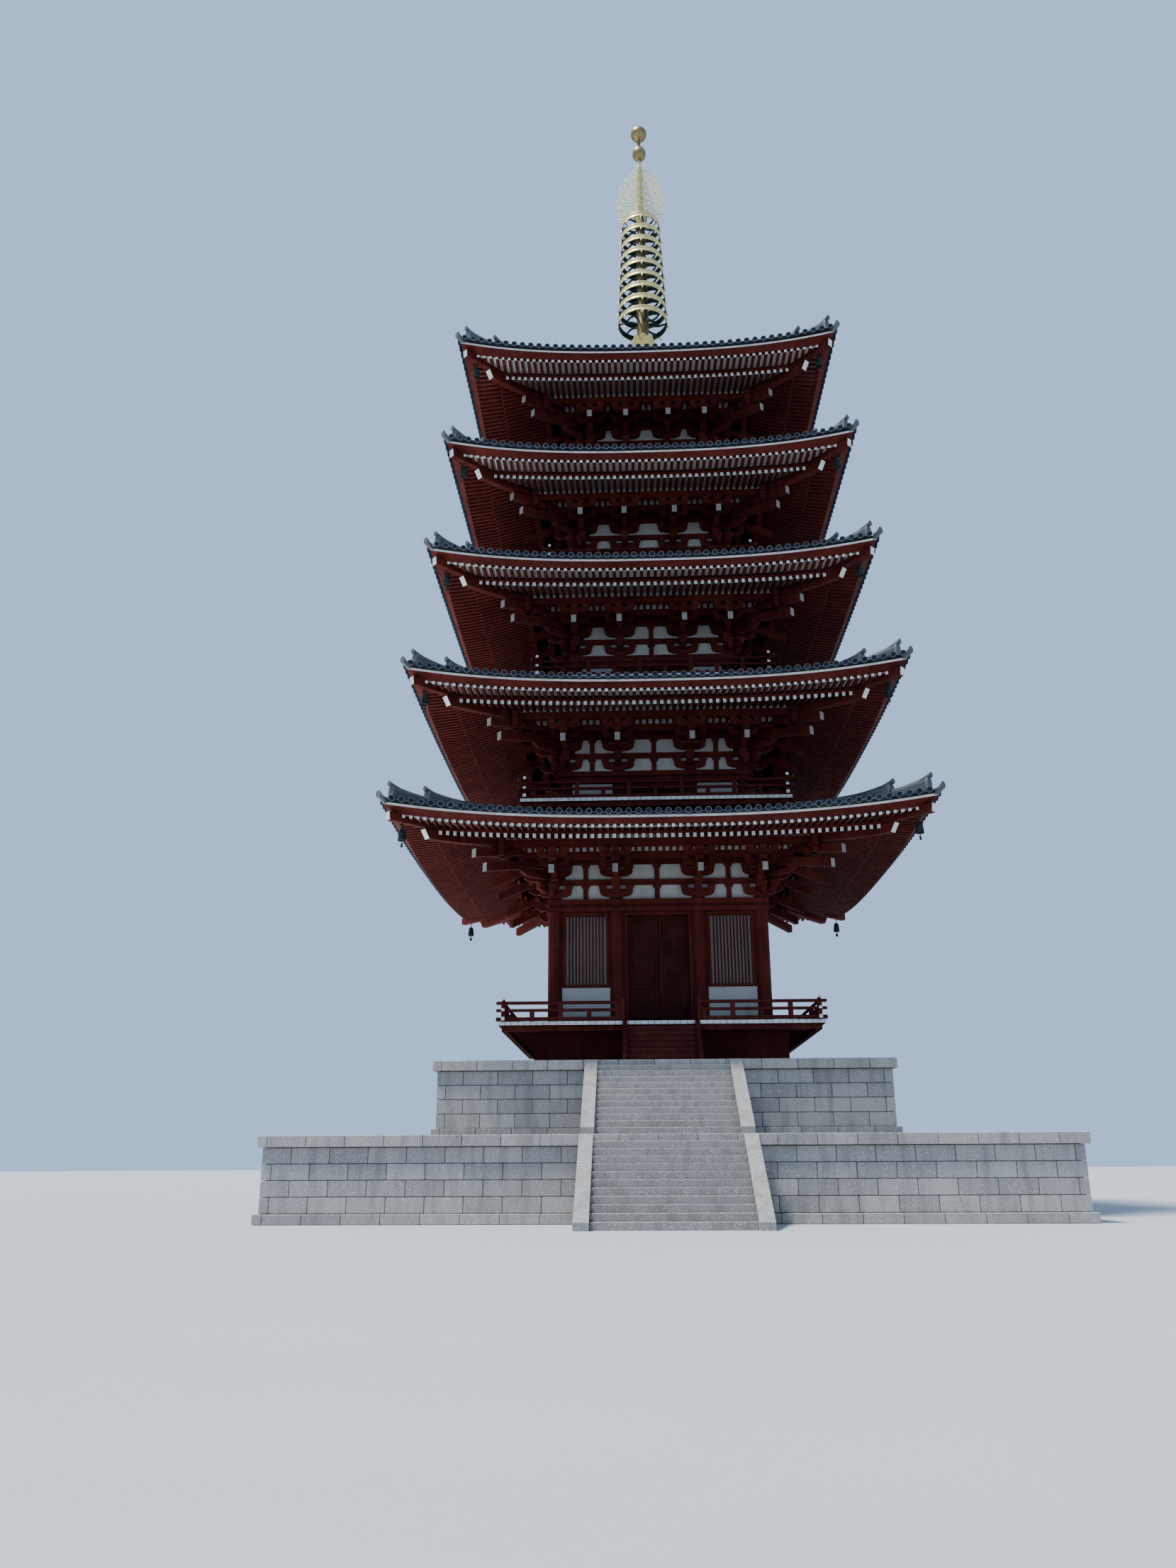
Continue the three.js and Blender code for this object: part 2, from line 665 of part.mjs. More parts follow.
// Nine flat rings stand round the mast, each carried by a bar through the mast.
const MAST = {
  footRadius: 0.28,
  footTop: 41.6,
  radius: 0.2,
  neckTop: 42.4,
  collarRadius: 0.25,
  collarDepth: 0.08,
  collarSlope: 0.02,
  headRadius: 0.12,
  tipRadius: 0.08,
  sides: 6,
};
const RING = { depth: 0.26, thickness: 0.05, barHalf: 0.05, barRise: 0.04, letIn: 0.03, sides: 12 };
const mastParts = [turned([
  [0, petalSeat + SEAT],
  [MAST.footRadius, petalSeat + SEAT],
  [MAST.footRadius, MAST.footTop],
  [MAST.radius, MAST.neckTop],
  [MAST.radius, SPIRE.flameLow - MAST.collarDepth],
  [MAST.collarRadius, SPIRE.flameLow - MAST.collarDepth + MAST.collarSlope],
  [MAST.collarRadius, SPIRE.flameLow - SEAT],
  [MAST.headRadius, SPIRE.flameLow - SEAT],
  [MAST.tipRadius, SPIRE.mastTop],
  [0, SPIRE.mastTop],
], MAST.sides)];
for (let i = 0; i < SPIRE.rings; i += 1) {
  const share = i / (SPIRE.rings - 1);
  const z = SPIRE.lowRing + share * (SPIRE.highRing - SPIRE.lowRing);
  const radius = SPIRE.lowRadius + share * (SPIRE.highRadius - SPIRE.lowRadius);
  const low = z - RING.depth / 2;
  const high = z + RING.depth / 2;
  const inside = radius - RING.thickness;
  const section = [[inside, low], [radius, low], [radius, high], [inside, high], [inside, low]];
  const end = radius - RING.letIn;
  mastParts.push(turned(section, RING.sides));
  mastParts.push(box([-end, -RING.barHalf, z - RING.barRise], [end, RING.barHalf, z + RING.barRise]));
}
addNode('mast_and_rings', 'gilt', joined(mastParts));

// Four upright openwork flames on a collar round the mast, each a plate with a rounded outer edge
// and three gaps. Outline pairs are [share of the reach, share of the height].
const FLAME = {
  root: 0.19,
  thickness: 0.05,
  outline: [[0.96, 0], [1, 0.3], [0.97, 0.6], [0.78, 0.82], [0.42, 0.96]],
  gaps: [0.1, 0.38, 0.66],
  gapInner: 0.3,
  gapReach: 0.84,
  gapNarrows: 0.3,
  gapHeight: 0.2,
  gapHead: 0.16,
};
const FLAME_COLLAR = { foot: 0.24, footInside: 0.18, head: 0.2, headInside: 0.13, sides: 8 };

function flame() {
  const { flameLow: low, flameHigh: high, flameReach: reach } = SPIRE;
  const rise = high - low;
  const outline = [
    [FLAME.root, low],
    ...FLAME.outline.map(([out, up]) => [reach * out, low + rise * up]),
    [FLAME.root, high],
  ];
  const holes = FLAME.gaps.map((share) => {
    const z = low + rise * share;
    const wide = reach * (FLAME.gapReach - FLAME.gapNarrows * share);
    return [
      [FLAME.gapInner, z],
      [FLAME.gapInner, z + rise * FLAME.gapHeight],
      [wide, z + rise * FLAME.gapHead],
      [wide, z],
    ];
  });
  return closed(fin(outline, FLAME.thickness, holes));
}
const collar = turned([
  [FLAME_COLLAR.footInside, SPIRE.flameLow],
  [FLAME_COLLAR.foot, SPIRE.flameLow],
  [FLAME_COLLAR.head, SPIRE.flameHigh],
  [FLAME_COLLAR.headInside, SPIRE.flameHigh],
  [FLAME_COLLAR.footInside, SPIRE.flameLow],
], FLAME_COLLAR.sides);
addNode('flames', 'gilt', joined([collar, ...quarterTurns(flame())]));

// Two balls on the tip of the mast, the lower one longer, with a short neck between them.
const BALL = { lowRadius: 0.345, highRadius: 0.4, halfHeight: 0.42, steps: 8, sides: 12 };
const NECK = { foot: 0.1, head: 0.08, top: 52.6, sides: 8 };

function ball(radius, middle) {
  const outline = [];
  for (let i = 0; i <= BALL.steps; i += 1) {
    const angle = Math.PI * (i / BALL.steps - 0.5);
    const r = i === 0 || i === BALL.steps ? 0 : radius * Math.cos(angle);
    outline.push([r, middle + BALL.halfHeight * Math.sin(angle)]);
  }
  return turned(outline, BALL.sides);
}

addNode('finial_balls', 'gilt', joined([
  turned([
    [0, SPIRE.mastTop + SEAT],
    [NECK.foot, SPIRE.mastTop + SEAT],
    [NECK.head, NECK.top],
    [0, NECK.top],
  ], NECK.sides),
  ball(BALL.lowRadius, SPIRE.lowBall),
  ball(BALL.highRadius, SPIRE.highBall),
]));

export default tower;
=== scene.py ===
from math import cos, hypot, inf, pi, radians, sin, sqrt

import bmesh
import bpy
from mathutils import Matrix, Vector


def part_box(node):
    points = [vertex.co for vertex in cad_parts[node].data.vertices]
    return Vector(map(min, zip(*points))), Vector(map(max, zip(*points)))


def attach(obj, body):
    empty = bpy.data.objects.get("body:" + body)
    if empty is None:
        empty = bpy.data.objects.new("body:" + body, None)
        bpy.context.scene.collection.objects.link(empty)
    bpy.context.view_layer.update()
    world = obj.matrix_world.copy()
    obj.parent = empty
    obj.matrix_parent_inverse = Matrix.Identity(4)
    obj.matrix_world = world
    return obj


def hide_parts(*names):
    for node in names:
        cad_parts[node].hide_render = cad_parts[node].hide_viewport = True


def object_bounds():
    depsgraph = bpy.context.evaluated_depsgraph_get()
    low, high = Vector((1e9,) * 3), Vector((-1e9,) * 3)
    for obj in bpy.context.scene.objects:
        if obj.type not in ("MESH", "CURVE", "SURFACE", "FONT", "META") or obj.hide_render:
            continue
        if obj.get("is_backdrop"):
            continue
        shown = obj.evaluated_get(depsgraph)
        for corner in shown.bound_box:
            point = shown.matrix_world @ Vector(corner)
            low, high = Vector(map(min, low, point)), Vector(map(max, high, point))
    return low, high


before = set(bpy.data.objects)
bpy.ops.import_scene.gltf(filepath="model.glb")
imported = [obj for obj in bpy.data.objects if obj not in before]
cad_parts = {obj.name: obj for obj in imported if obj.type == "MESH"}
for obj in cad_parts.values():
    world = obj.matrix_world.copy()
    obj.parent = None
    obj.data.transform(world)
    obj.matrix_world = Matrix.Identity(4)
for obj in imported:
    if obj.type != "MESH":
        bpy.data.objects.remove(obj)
cad_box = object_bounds()

# Camera at eye height, in front of the tower and a little to its left. It looks up, so that the spire
# is near the top edge. The floor is plain and pale, under a soft high sun, and a wide soft lamp low on
# the left lights the undersides of the eaves.
FOCAL_MM = 27.10
CAMERA_AT = (-0.4505, -24.10, 0.795)
CAMERA_PITCH, CAMERA_YAW, CAMERA_ROLL = radians(17.952), radians(2.235), radians(-0.243)
FLOOR_HALF = 400
SUN_FROM = Vector((-0.36, -0.15, 0.92))
SUN = {"power": 4.4, "spread": radians(9), "colour": (1.0, 0.96, 0.90)}
SKY = {"power": 0.8, "colour": (0.52, 0.70, 1.0, 1)}
FILL = {"across": 10, "along": 16, "power": 1950, "at": (-13.5, 1.8, 0.3)}

scene = bpy.context.scene


def make_camera():
    forward = Vector((
        -sin(CAMERA_YAW) * cos(CAMERA_PITCH),
        cos(CAMERA_YAW) * cos(CAMERA_PITCH),
        sin(CAMERA_PITCH),
    ))
    level = Vector((cos(CAMERA_YAW), sin(CAMERA_YAW), 0))
    upright = level.cross(forward)
    right = level * cos(CAMERA_ROLL) + upright * sin(CAMERA_ROLL)
    up = upright * cos(CAMERA_ROLL) - level * sin(CAMERA_ROLL)
    lens = bpy.data.cameras.new("camera")
    lens.sensor_width = 36
    lens.lens = FOCAL_MM
    lens.clip_end = 2000
    camera = bpy.data.objects.new("camera", lens)
    scene.collection.objects.link(camera)
    camera.matrix_world = Matrix.Translation(CAMERA_AT) @ Matrix((right, up, -forward)).transposed().to_4x4()
    scene.camera = camera


class Finish:
    """One procedural material on Object coordinates, which are metres of the model."""

    def __init__(self, name, slot="", roughness=0.6, metallic=0.0):
        self.slot = slot
        self.material = bpy.data.materials.new(name)
        self.material.use_nodes = True
        self.tree = self.material.node_tree
        self.shader = self.tree.nodes["Principled BSDF"]
        self.shader.inputs["Roughness"].default_value = roughness
        self.shader.inputs["Metallic"].default_value = metallic
        self.place = self.tree.nodes.new("ShaderNodeTexCoord").outputs["Object"]

    def node(self, kind, inputs=(), **settings):
        made = self.tree.nodes.new(kind)
        for name, value in settings.items():
            setattr(made, name, value)
        for name, value in dict(inputs).items():
            self.feed(made.inputs[name], value)
        return made.outputs

    def feed(self, socket, value):
        if isinstance(value, bpy.types.NodeSocket):
            self.tree.links.new(value, socket)
        else:
            socket.default_value = value

    def noise(self, size, stretch=(1, 1, 1), detail=5.0):
        """Soft patches of about the given size in metres, longer along an axis with a low stretch."""
        place = self.node("ShaderNodeMapping", {"Vector": self.place, "Scale": stretch})["Vector"]
        inputs = {"Vector": place, "Scale": 1 / size, "Detail": detail}
        return self.node("ShaderNodeTexNoise", inputs)["Fac"]

    def remap(self, value, low, high, to_low=0.0, to_high=1.0):
        names = ("Value", "From Min", "From Max", "To Min", "To Max")
        return self.node("ShaderNodeMapRange", zip(names, (value, low, high, to_low, to_high)))["Result"]

    def blend(self, share, a, b):
        """A colour between a and b. Either is a socket or a tuple."""
        made = self.tree.nodes.new("ShaderNodeMix")
        made.data_type = "RGBA"
        self.feed(made.inputs[0], share)
        for place, value in ((6, a), (7, b)):
            self.feed(made.inputs[place], (*value, 1) if isinstance(value, tuple) else value)
        return made.outputs[2]

    def tone(self, a, b, most=1.0):
        """A colour between a and b, by the number from 0 to 1 that each laid piece carries."""
        number = self.node("ShaderNodeAttribute", attribute_name="tone")["Fac"]
        return self.blend(number if most == 1 else self.remap(number, 0, 1, 0, most), a, b)

    def patches(self, a, b, size, low, high, most=1.0, stretch=(1, 1, 1), detail=5.0):
        """Colour a, with patches of b that come in where the noise rises from low to high."""
        return self.blend(self.remap(self.noise(size, stretch, detail), low, high, 0, most), a, b)

    def colour(self, socket):
        self.feed(self.shader.inputs["Base Color"], socket)

    def roughness(self, size, low, high):
        self.feed(self.shader.inputs["Roughness"], self.remap(self.noise(size), 0.3, 0.7, low, high))

    def bump(self, size, depth, stretch=(1, 1, 1)):
        """Relief of the given depth in metres."""
        inputs = {"Height": self.noise(size, stretch), "Distance": depth, "Strength": 0.6}
        self.feed(self.shader.inputs["Normal"], self.node("ShaderNodeBump", inputs)["Normal"])
        return self


def floor_finish():
    finish = Finish("pale_floor", roughness=0.9)
    finish.colour(finish.blend(finish.noise(3.0), (0.44, 0.45, 0.46), (0.48, 0.49, 0.50)))
    return finish.material


def make_lamp(name, kind, **settings):
    light = bpy.data.lights.new(name, kind)
    for label, value in settings.items():
        setattr(light, label, value)
    lamp = bpy.data.objects.new(name, light)
    scene.collection.objects.link(lamp)
    return lamp


def make_stage():
    mesh = bpy.data.meshes.new("floor")
    corners = [(-FLOOR_HALF, -FLOOR_HALF, 0), (FLOOR_HALF, -FLOOR_HALF, 0)]
    corners += [(FLOOR_HALF, FLOOR_HALF, 0), (-FLOOR_HALF, FLOOR_HALF, 0)]
    mesh.from_pydata(corners, [], [(0, 1, 2, 3)])
    mesh.materials.append(floor_finish())
    floor = bpy.data.objects.new("floor", mesh)
    scene.collection.objects.link(floor)
    floor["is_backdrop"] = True
    sun = make_lamp("sun", "SUN", energy=SUN["power"], angle=SUN["spread"], color=SUN["colour"])
    sun.rotation_euler = SUN_FROM.to_track_quat("Z", "Y").to_euler()
    sizes = {"shape": "RECTANGLE", "size": FILL["across"], "size_y": FILL["along"]}
    fill = make_lamp("low_fill", "AREA", energy=FILL["power"], **sizes)
    fill.location = FILL["at"]
    fill.rotation_euler = (pi, 0, 0)  # lies flat and shines up
    fill.visible_camera = False
    world = bpy.data.worlds.new("soft_sky")
    world.use_nodes = True
    sky = world.node_tree.nodes["Background"].inputs
    sky["Color"].default_value = SKY["colour"]
    sky["Strength"].default_value = SKY["power"]
    scene.world = world
    scene.view_settings.look = "AgX - Medium High Contrast"


make_camera()
make_stage()


# Podium: two terraces of dressed granite blocks, laid in courses with thin joints, with a base course
# and a cap course that stand out a little, and flat slabs on top. The blocks hide a plain core.
SCALE = 0.5  # metres of the model for each metre of the real tower
STONE = {"length": 1.15, "joint": 0.012, "depth": 0.3, "bevel": 0.015}
SLAB = {"thick": 0.12, "drop": 0.004}
TERRACE = {"base": 0.3, "cap": 0.34, "lip": 0.14, "courses": 4, "core_inset": 0.1}
CREASE = radians(35)
MERGE = 1e-6


def circle(count):
    """Cosine and sine of each of so many equal turns."""
    return [(cos(2 * pi * i / count), sin(2 * pi * i / count)) for i in range(count)]


class Pile:
    """Points and faces gathered for one piece, in metres of the real tower."""

    def __init__(self):
        self.points = []
        self.faces = []

    def add(self, points, faces):
        start = len(self.points)
        self.points += [tuple(point) for point in points]
        self.faces += [tuple(start + i for i in face) for face in faces]
        return self

    def join(self, other):
        return self.add(other.points, other.faces)

    def loft(self, loops, ends=True, around=False):
        """Joins loops of as many points each. The first and last are closed, or joined to each other."""
        count = len(loops[0])
        last = len(loops) if around else len(loops) - 1
        faces = []
        for row in range(last):
            here, ahead = row * count, (row + 1) % len(loops) * count
            for i in range(count):
                j = (i + 1) % count
                faces.append((here + i, here + j, ahead + j, ahead + i))
        if ends and not around:
            faces.append(tuple(reversed(range(count))))
            faces.append(tuple((len(loops) - 1) * count + i for i in range(count)))
        return self.add([point for loop in loops for point in loop], faces)

    def box(self, low, high, bevel=0.0):
        """A box between two corners, with its edges cut off by the bevel."""
        (x0, y0, z0), (x1, y1, z1) = low, high

        def loop(inset, z):
            a, b, c, d = x0 + inset, x1 - inset, y0 + inset, y1 - inset
            if not bevel:
                return [(a, c, z), (b, c, z), (b, d, z), (a, d, z)]
            return [
                (a + bevel, c, z), (b - bevel, c, z), (b, c + bevel, z), (b, d - bevel, z),
                (b - bevel, d, z), (a + bevel, d, z), (a, d - bevel, z), (a, c + bevel, z),
            ]

        if not bevel:
            return self.loft([loop(0, z0), loop(0, z1)])
        return self.loft([loop(bevel, z0), loop(0, z0 + bevel), loop(0, z1 - bevel), loop(bevel, z1)])

    def plate(self, outline, thickness, at=0.0):
        """An upright plate across X. The outline is [distance in front of the axis, height]."""
        return self.loft([[(at + side * thickness / 2, -r, z) for r, z in outline] for side in (-1, 1)])

    def board(self, outline, low, high):
        """A plate along the wall. The outline is [x, height]; low and high are distances in front."""
        return self.loft([[(x, -r, z) for x, z in outline] for r in (low, high)])

    def turned(self, outline, sides, at=(0, 0, 0)):
        """An outline of [radius, height] turned round an upright axis. It starts and ends on the axis."""
        x, y, foot = at
        return self.loft([[(x + r * c, y + r * s, foot + z) for c, s in circle(sides)] for r, z in outline])

    def copies(self, matrices):
        """The same piece at several places."""
        made = Pile()
        for matrix in matrices:
            made.add([matrix @ Vector(point) for point in self.points], self.faces)
        return made

    def four_sides(self, turn=0.0):
        return self.copies([Matrix.Rotation(turn + side * pi / 2, 4, "Z") for side in range(4)])

    def mesh(self):
        mesh = bpy.data.meshes.new("shape")
        mesh.from_pydata(self.points, [], self.faces)
        work = bmesh.new()
        work.from_mesh(mesh)
        bmesh.ops.remove_doubles(work, verts=work.verts, dist=MERGE)
        bmesh.ops.dissolve_degenerate(work, edges=work.edges, dist=MERGE)
        bmesh.ops.recalc_face_normals(work, faces=work.faces)
        work.to_mesh(mesh)
        work.free()
        return mesh


def as_mesh(shape):
    return shape.mesh() if isinstance(shape, Pile) else shape


def keep(shape, name, finish, *stands_for):
    """Brings a shape to the model's scale and adds it to the tower as one piece."""
    mesh = as_mesh(shape)
    mesh.name = name
    mesh.transform(Matrix.Scale(SCALE, 4))
    mesh.materials.clear()
    mesh.materials.append(finish.material)
    mesh.shade_smooth()
    mesh.set_sharp_from_angle(angle=CREASE)
    piece = bpy.data.objects.new(name, mesh)
    scene.collection.objects.link(piece)
    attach(piece, "root")
    if stands_for:
        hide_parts(*stands_for)


def real_box(node):
    """Lowest and highest corner of a node, in metres of the real tower."""
    low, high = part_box(node)
    return low / SCALE, high / SCALE


class Field:
    """A number that a Geometry Nodes tree works out for each point, for use in plain sums."""

    def __init__(self, tree, socket):
        self.tree = tree
        self.socket = socket

    def sum(self, operation, *values):
        made = self.tree.group.nodes.new("ShaderNodeMath")
        made.operation = operation
        for socket, value in zip(made.inputs, values):
            self.tree.feed(socket, value)
        return Field(self.tree, made.outputs[0])

    def __add__(self, other):
        return self.sum("ADD", self, other)

    def __sub__(self, other):
        return self.sum("SUBTRACT", self, other)

    def __rsub__(self, other):
        return self.sum("SUBTRACT", other, self)

    def __mul__(self, other):
        return self.sum("MULTIPLY", self, other)

    def __truediv__(self, other):
        return self.sum("DIVIDE", self, other)

    def __pow__(self, other):
        return self.sum("POWER", self, other)

    def __abs__(self):
        return self.sum("ABSOLUTE", self)

    def least(self, other):
        return self.sum("MINIMUM", self, other)

    def most(self, other):
        return self.sum("MAXIMUM", self, other)


class Tree:
    """A Geometry Nodes tree with named inputs."""

    def __init__(self, name, **inputs):
        self.group = bpy.data.node_groups.new(name, "GeometryNodeTree")
        sockets = self.group.interface
        sockets.new_socket("Result", in_out="OUTPUT", socket_type="NodeSocketGeometry")
        for label, kind in inputs.items():
            sockets.new_socket(label, in_out="INPUT", socket_type="NodeSocket" + kind)
        self.given = self.group.nodes.new("NodeGroupInput").outputs

    def feed(self, socket, value):
        if isinstance(value, Field):
            value = value.socket
        if isinstance(value, bpy.types.NodeSocket):
            self.group.links.new(value, socket)
        else:
            socket.default_value = value

    def node(self, kind, settings=(), **inputs):
        """Adds a node. An input's name has _ for each space."""
        made = self.group.nodes.new(kind)
        for name, value in dict(settings).items():
            setattr(made, name, value)
        for label, value in inputs.items():
            self.feed(made.inputs[label.replace("_", " ")], value)
        return made.outputs

    def field(self, label):
        return Field(self, self.given[label])

    def vector(self, x=0.0, y=0.0, z=0.0):
        return self.node("ShaderNodeCombineXYZ", X=x, Y=y, Z=z)[0]

    def position(self):
        place = self.node("GeometryNodeInputPosition")[0]
        return [Field(self, socket) for socket in self.node("ShaderNodeSeparateXYZ", Vector=place)]

    def item(self):
        return self.node("GeometryNodeObjectInfo", Object=self.given["Item"])["Geometry"]

    def copies(self, points, item, selection=True):
        """An item on every point, each with a number of its own called tone, made real."""
        inputs = {"Points": points, "Instance": item, "Selection": selection}
        laid = self.node("GeometryNodeInstanceOnPoints", **inputs)[0]
        tone = self.node("FunctionNodeRandomValue", {"data_type": "FLOAT"}, Seed=self.given["Seed"])[1]
        toned = self.node(
            "GeometryNodeStoreNamedAttribute", {"data_type": "FLOAT", "domain": "INSTANCE"},
            Geometry=laid, Name="tone", Value=tone,
        )[0]
        return self.node("GeometryNodeRealizeInstances", Geometry=toned)[0]

    def moved(self, geometry, x, y, z):
        place = self.vector(x, y, z)
        return self.node("GeometryNodeSetPosition", Geometry=geometry, Position=place)[0]

    def all_round(self, geometry, count=4):
        """Turned copies round the tower's axis."""
        points = self.node("GeometryNodeMeshLine", Count=count, Offset=(0, 0, 0))[0]
        index = Field(self, self.node("GeometryNodeInputIndex")[0])
        turn = index * (2 * pi) / count
        inputs = {"Points": points, "Instance": geometry, "Rotation": self.vector(z=turn)}
        laid = self.node("GeometryNodeInstanceOnPoints", **inputs)[0]
        return self.node("GeometryNodeRealizeInstances", Geometry=laid)[0]

    def end(self, geometry):
        painted = self.node("GeometryNodeSetMaterial", Geometry=geometry, Material=self.given["Finish"])[0]
        out = self.group.nodes.new("NodeGroupOutput")
        self.group.links.new(painted, out.inputs[0])
        return self


def laid(tree, item, finish, **values):
    """Runs a tree on one item and gives back the plain mesh."""
    holder = bpy.data.objects.new("item", item.mesh())
    host = bpy.data.objects.new("host", bpy.data.meshes.new("host"))
    for thing in (holder, host):
        scene.collection.objects.link(thing)
    modifier = host.modifiers.new("laid", "NODES")
    modifier.node_group = tree.group
    values.update(Item=holder, Finish=finish.material)
    names = {socket.name: socket.identifier for socket in tree.group.interface.items_tree}
    for label, value in values.items():
        modifier[names[label]] = value
    host.update_tag()
    mesh = bpy.data.meshes.new_from_object(host.evaluated_get(bpy.context.evaluated_depsgraph_get()))
    for thing in (holder, host):
        bpy.data.objects.remove(thing)
    return mesh


def granite_finish():
    """Pale grey granite with dark and light specks, a little cooler or warmer from block to block."""
    finish = Finish("granite", "granite", roughness=0.75)
    base = finish.tone((0.33, 0.325, 0.31), (0.47, 0.46, 0.435))
    base = finish.patches(base, (0.16, 0.155, 0.15), 0.008, 0.54, 0.62, detail=2)
    base = finish.patches(base, (0.66, 0.65, 0.62), 0.013, 0.6, 0.68, detail=2)
    finish.colour(finish.patches(base, (0.20, 0.19, 0.175), 0.5, 0.48, 0.72, 0.55, (3, 3, 0.5)))
    return finish.bump(0.02, 0.004)


def course_tree():
    """Blocks in courses on the four sides of a terrace, every other course moved by half a block."""
    tree = Tree(
        "stone_courses", Item="Object", Count="Int", Courses="Int", Pitch="Float", Height="Float",
        Half="Float", Low="Float", Seed="Int", Finish="Material",
    )
    pitch, height, half = tree.field("Pitch"), tree.field("Height"), tree.field("Half")
    count, courses = tree.field("Count"), tree.field("Courses")
    grid = tree.node(
        "GeometryNodeMeshGrid",
        Size_X=pitch * (count - 1), Size_Y=height * (courses - 1), Vertices_X=count, Vertices_Y=courses,
    )[0]
    x, y, z = tree.position()
    up = y + height * (courses - 1) / 2
    course = up.sum("MODULO", up / height + 0.1, 2)
    odd = course.sum("FLOOR", course)
    points = tree.moved(grid, x + (odd - 0.5) * pitch / 2, half * -1, up + tree.field("Low") + height / 2)
    blocks = tree.copies(points, tree.item())
    x, y, z = tree.position()
    blocks = tree.moved(blocks, x.least(y * -1).most(y), y, z)
    return tree.end(tree.all_round(blocks))


granite = granite_finish()
stone_courses = course_tree()


def stone_ring(half, low, high, courses, seed):
    """Courses of blocks with their faces at the given half width."""
    height = (high - low) / courses
    count = round(2 * half / STONE["length"]) + 1
    pitch = 2 * half / (count - 1)
    x, z = (pitch - STONE["joint"]) / 2, (height - STONE["joint"]) / 2
    block = Pile().box((-x, 0, -z), (x, STONE["depth"], z), STONE["bevel"])
    sizes = {"Count": count, "Courses": courses, "Pitch": pitch, "Height": height}
    return laid(stone_courses, block, granite, Half=half, Low=low, Seed=seed, **sizes)


def joined(*shapes):
    """Several shapes as one mesh, with the numbers that their pieces carry."""
    work = bmesh.new()
    for shape in shapes:
        work.from_mesh(as_mesh(shape))
    whole = bpy.data.meshes.new("joined")
    work.to_mesh(whole)
    work.free()
    return whole


for name in ("podium_lower", "podium_upper"):
    low, high = real_box(name)
    half, core = high.x - TERRACE["lip"], high.x - TERRACE["lip"] - TERRACE["core_inset"]
    wall_low, wall_high = low.z + TERRACE["base"], high.z - TERRACE["cap"]
    slabs = Pile()
    rows = round(2 * half / STONE["length"])
    step, reach = 2 * half / rows, 2 * half / rows - STONE["joint"]
    for i in range(rows):
        for j in range(rows):
            x, y = (-half + place * step + STONE["joint"] / 2 for place in (i, j))
            slabs.box((x, y, high.z - SLAB["thick"]), (x + reach, y + reach, high.z - SLAB["drop"]))
    stones = joined(
        Pile().box((-core, -core, low.z), (core, core, high.z - TERRACE["core_inset"])),
        stone_ring(high.x, low.z, wall_low, 1, 1),
        stone_ring(half, wall_low, wall_high, TERRACE["courses"], 2),
        stone_ring(high.x, wall_high, high.z, 1, 3),
        slabs,
    )
    keep(stones, name + "_stones", granite, name)


# Stairs: a granite flight up each terrace at the front, with plain sloping cheek stones, and a short
# timber flight up to the first balcony. Each step is a separate stone or board.
STONE_STAIR = {"steps": 12, "tread": 0.3, "cheek": 0.42}
WOODEN_STAIR = {"steps": 7, "tread": 0.26, "cheek": 0.16}
STAIRS = {"stone_stair_lower": STONE_STAIR, "stone_stair_upper": STONE_STAIR, "wooden_stair": WOODEN_STAIR}
SEAT = 0.0006  # the gap between a piece and the one that it bears on
NOSING = 0.02
STEP_BEVEL = 0.012


def shade(colour, share):
    return tuple(part * share for part in colour)


def painted_timber(name, deep, bright, worn):
    """Oil paint on timber: chalky in streaks down the piece where the weather gets at it, with small dark
    patches.
    """
    finish = Finish(name, name, roughness=0.7)
    finish.shader.inputs["Specular IOR Level"].default_value = 0.15
    base = finish.patches(deep, bright, 0.6, 0.35, 0.65)
    base = finish.tone(base, deep, 0.35)
    base = finish.patches(base, worn, 0.16, 0.5, 0.75, 0.4, (1, 1, 0.18))
    finish.colour(finish.patches(base, shade(deep, 0.35), 0.05, 0.55, 0.8, 0.5))
    finish.roughness(0.09, 0.6, 0.85)
    return finish.bump(0.02, 0.002, (1, 1, 0.25))


red_timber = painted_timber(
    "red_timber", (0.086, 0.018, 0.015), (0.126, 0.028, 0.021), (0.17, 0.058, 0.046)
)

for name, plan in STAIRS.items():
    low, high = real_box(name)
    face, foot = -high.y, -low.y
    steps, tread, cheek = plan["steps"], plan["tread"], plan["cheek"]
    rise = (high.z - low.z) / steps
    inner = high.x - cheek
    flight = Pile()
    for i in range(steps - 1):
        top = low.z + (i + 1) * rise
        front = foot - tread * (i + 1)
        flight.box((-inner, -front - NOSING, top - rise + SEAT), (inner, -face, top), STEP_BEVEL)
    slope = [(face, low.z), (foot, low.z), (foot, low.z + rise), (face, high.z)]
    for side in (-1, 1):
        flight.plate(slope, cheek, side * (inner + cheek / 2))
    keep(flight, name + "_steps", granite if plan is STONE_STAIR else red_timber, name)


# Balconies: a deck of boards that run outwards, with white painted ends, on an edge beam and joists.
# Waist boards below the deck stand on the roof of the storey under it.
DECK_BOARD = {"pitch": 0.23, "depth": 0.13, "gap": 0.012, "end": 0.003}
WAIST = {"reach": 0.75, "thickness": 0.2, "set_back": 0.04, "rail": 0.22}
DECK_BEAM = {"inset": 0.12, "width": 0.2, "depth": 0.2}
JOIST = {"pitch": 0.8, "width": 0.14, "depth": 0.16, "end": 0.1, "corner": 0.3, "bevel": 0.008}
DECK_RISE = {2: 0.08}
WALL_THICKNESS = 0.2
RAFTER_DEPTH = 0.2
EAVE_BOARD_REACH = 0.25
BASE_RAFTER_INSET = 1.03
BASE_RAFTER_DROP = 0.05
RAFTER_SLOPE = 0.27
EAVE_LIFT = 0.5
EAVE_FLARE = 0.17
LIFT_FALL = 3.2
LIFT_CURVE = 2.6
CORNER_LIMIT = 1.15
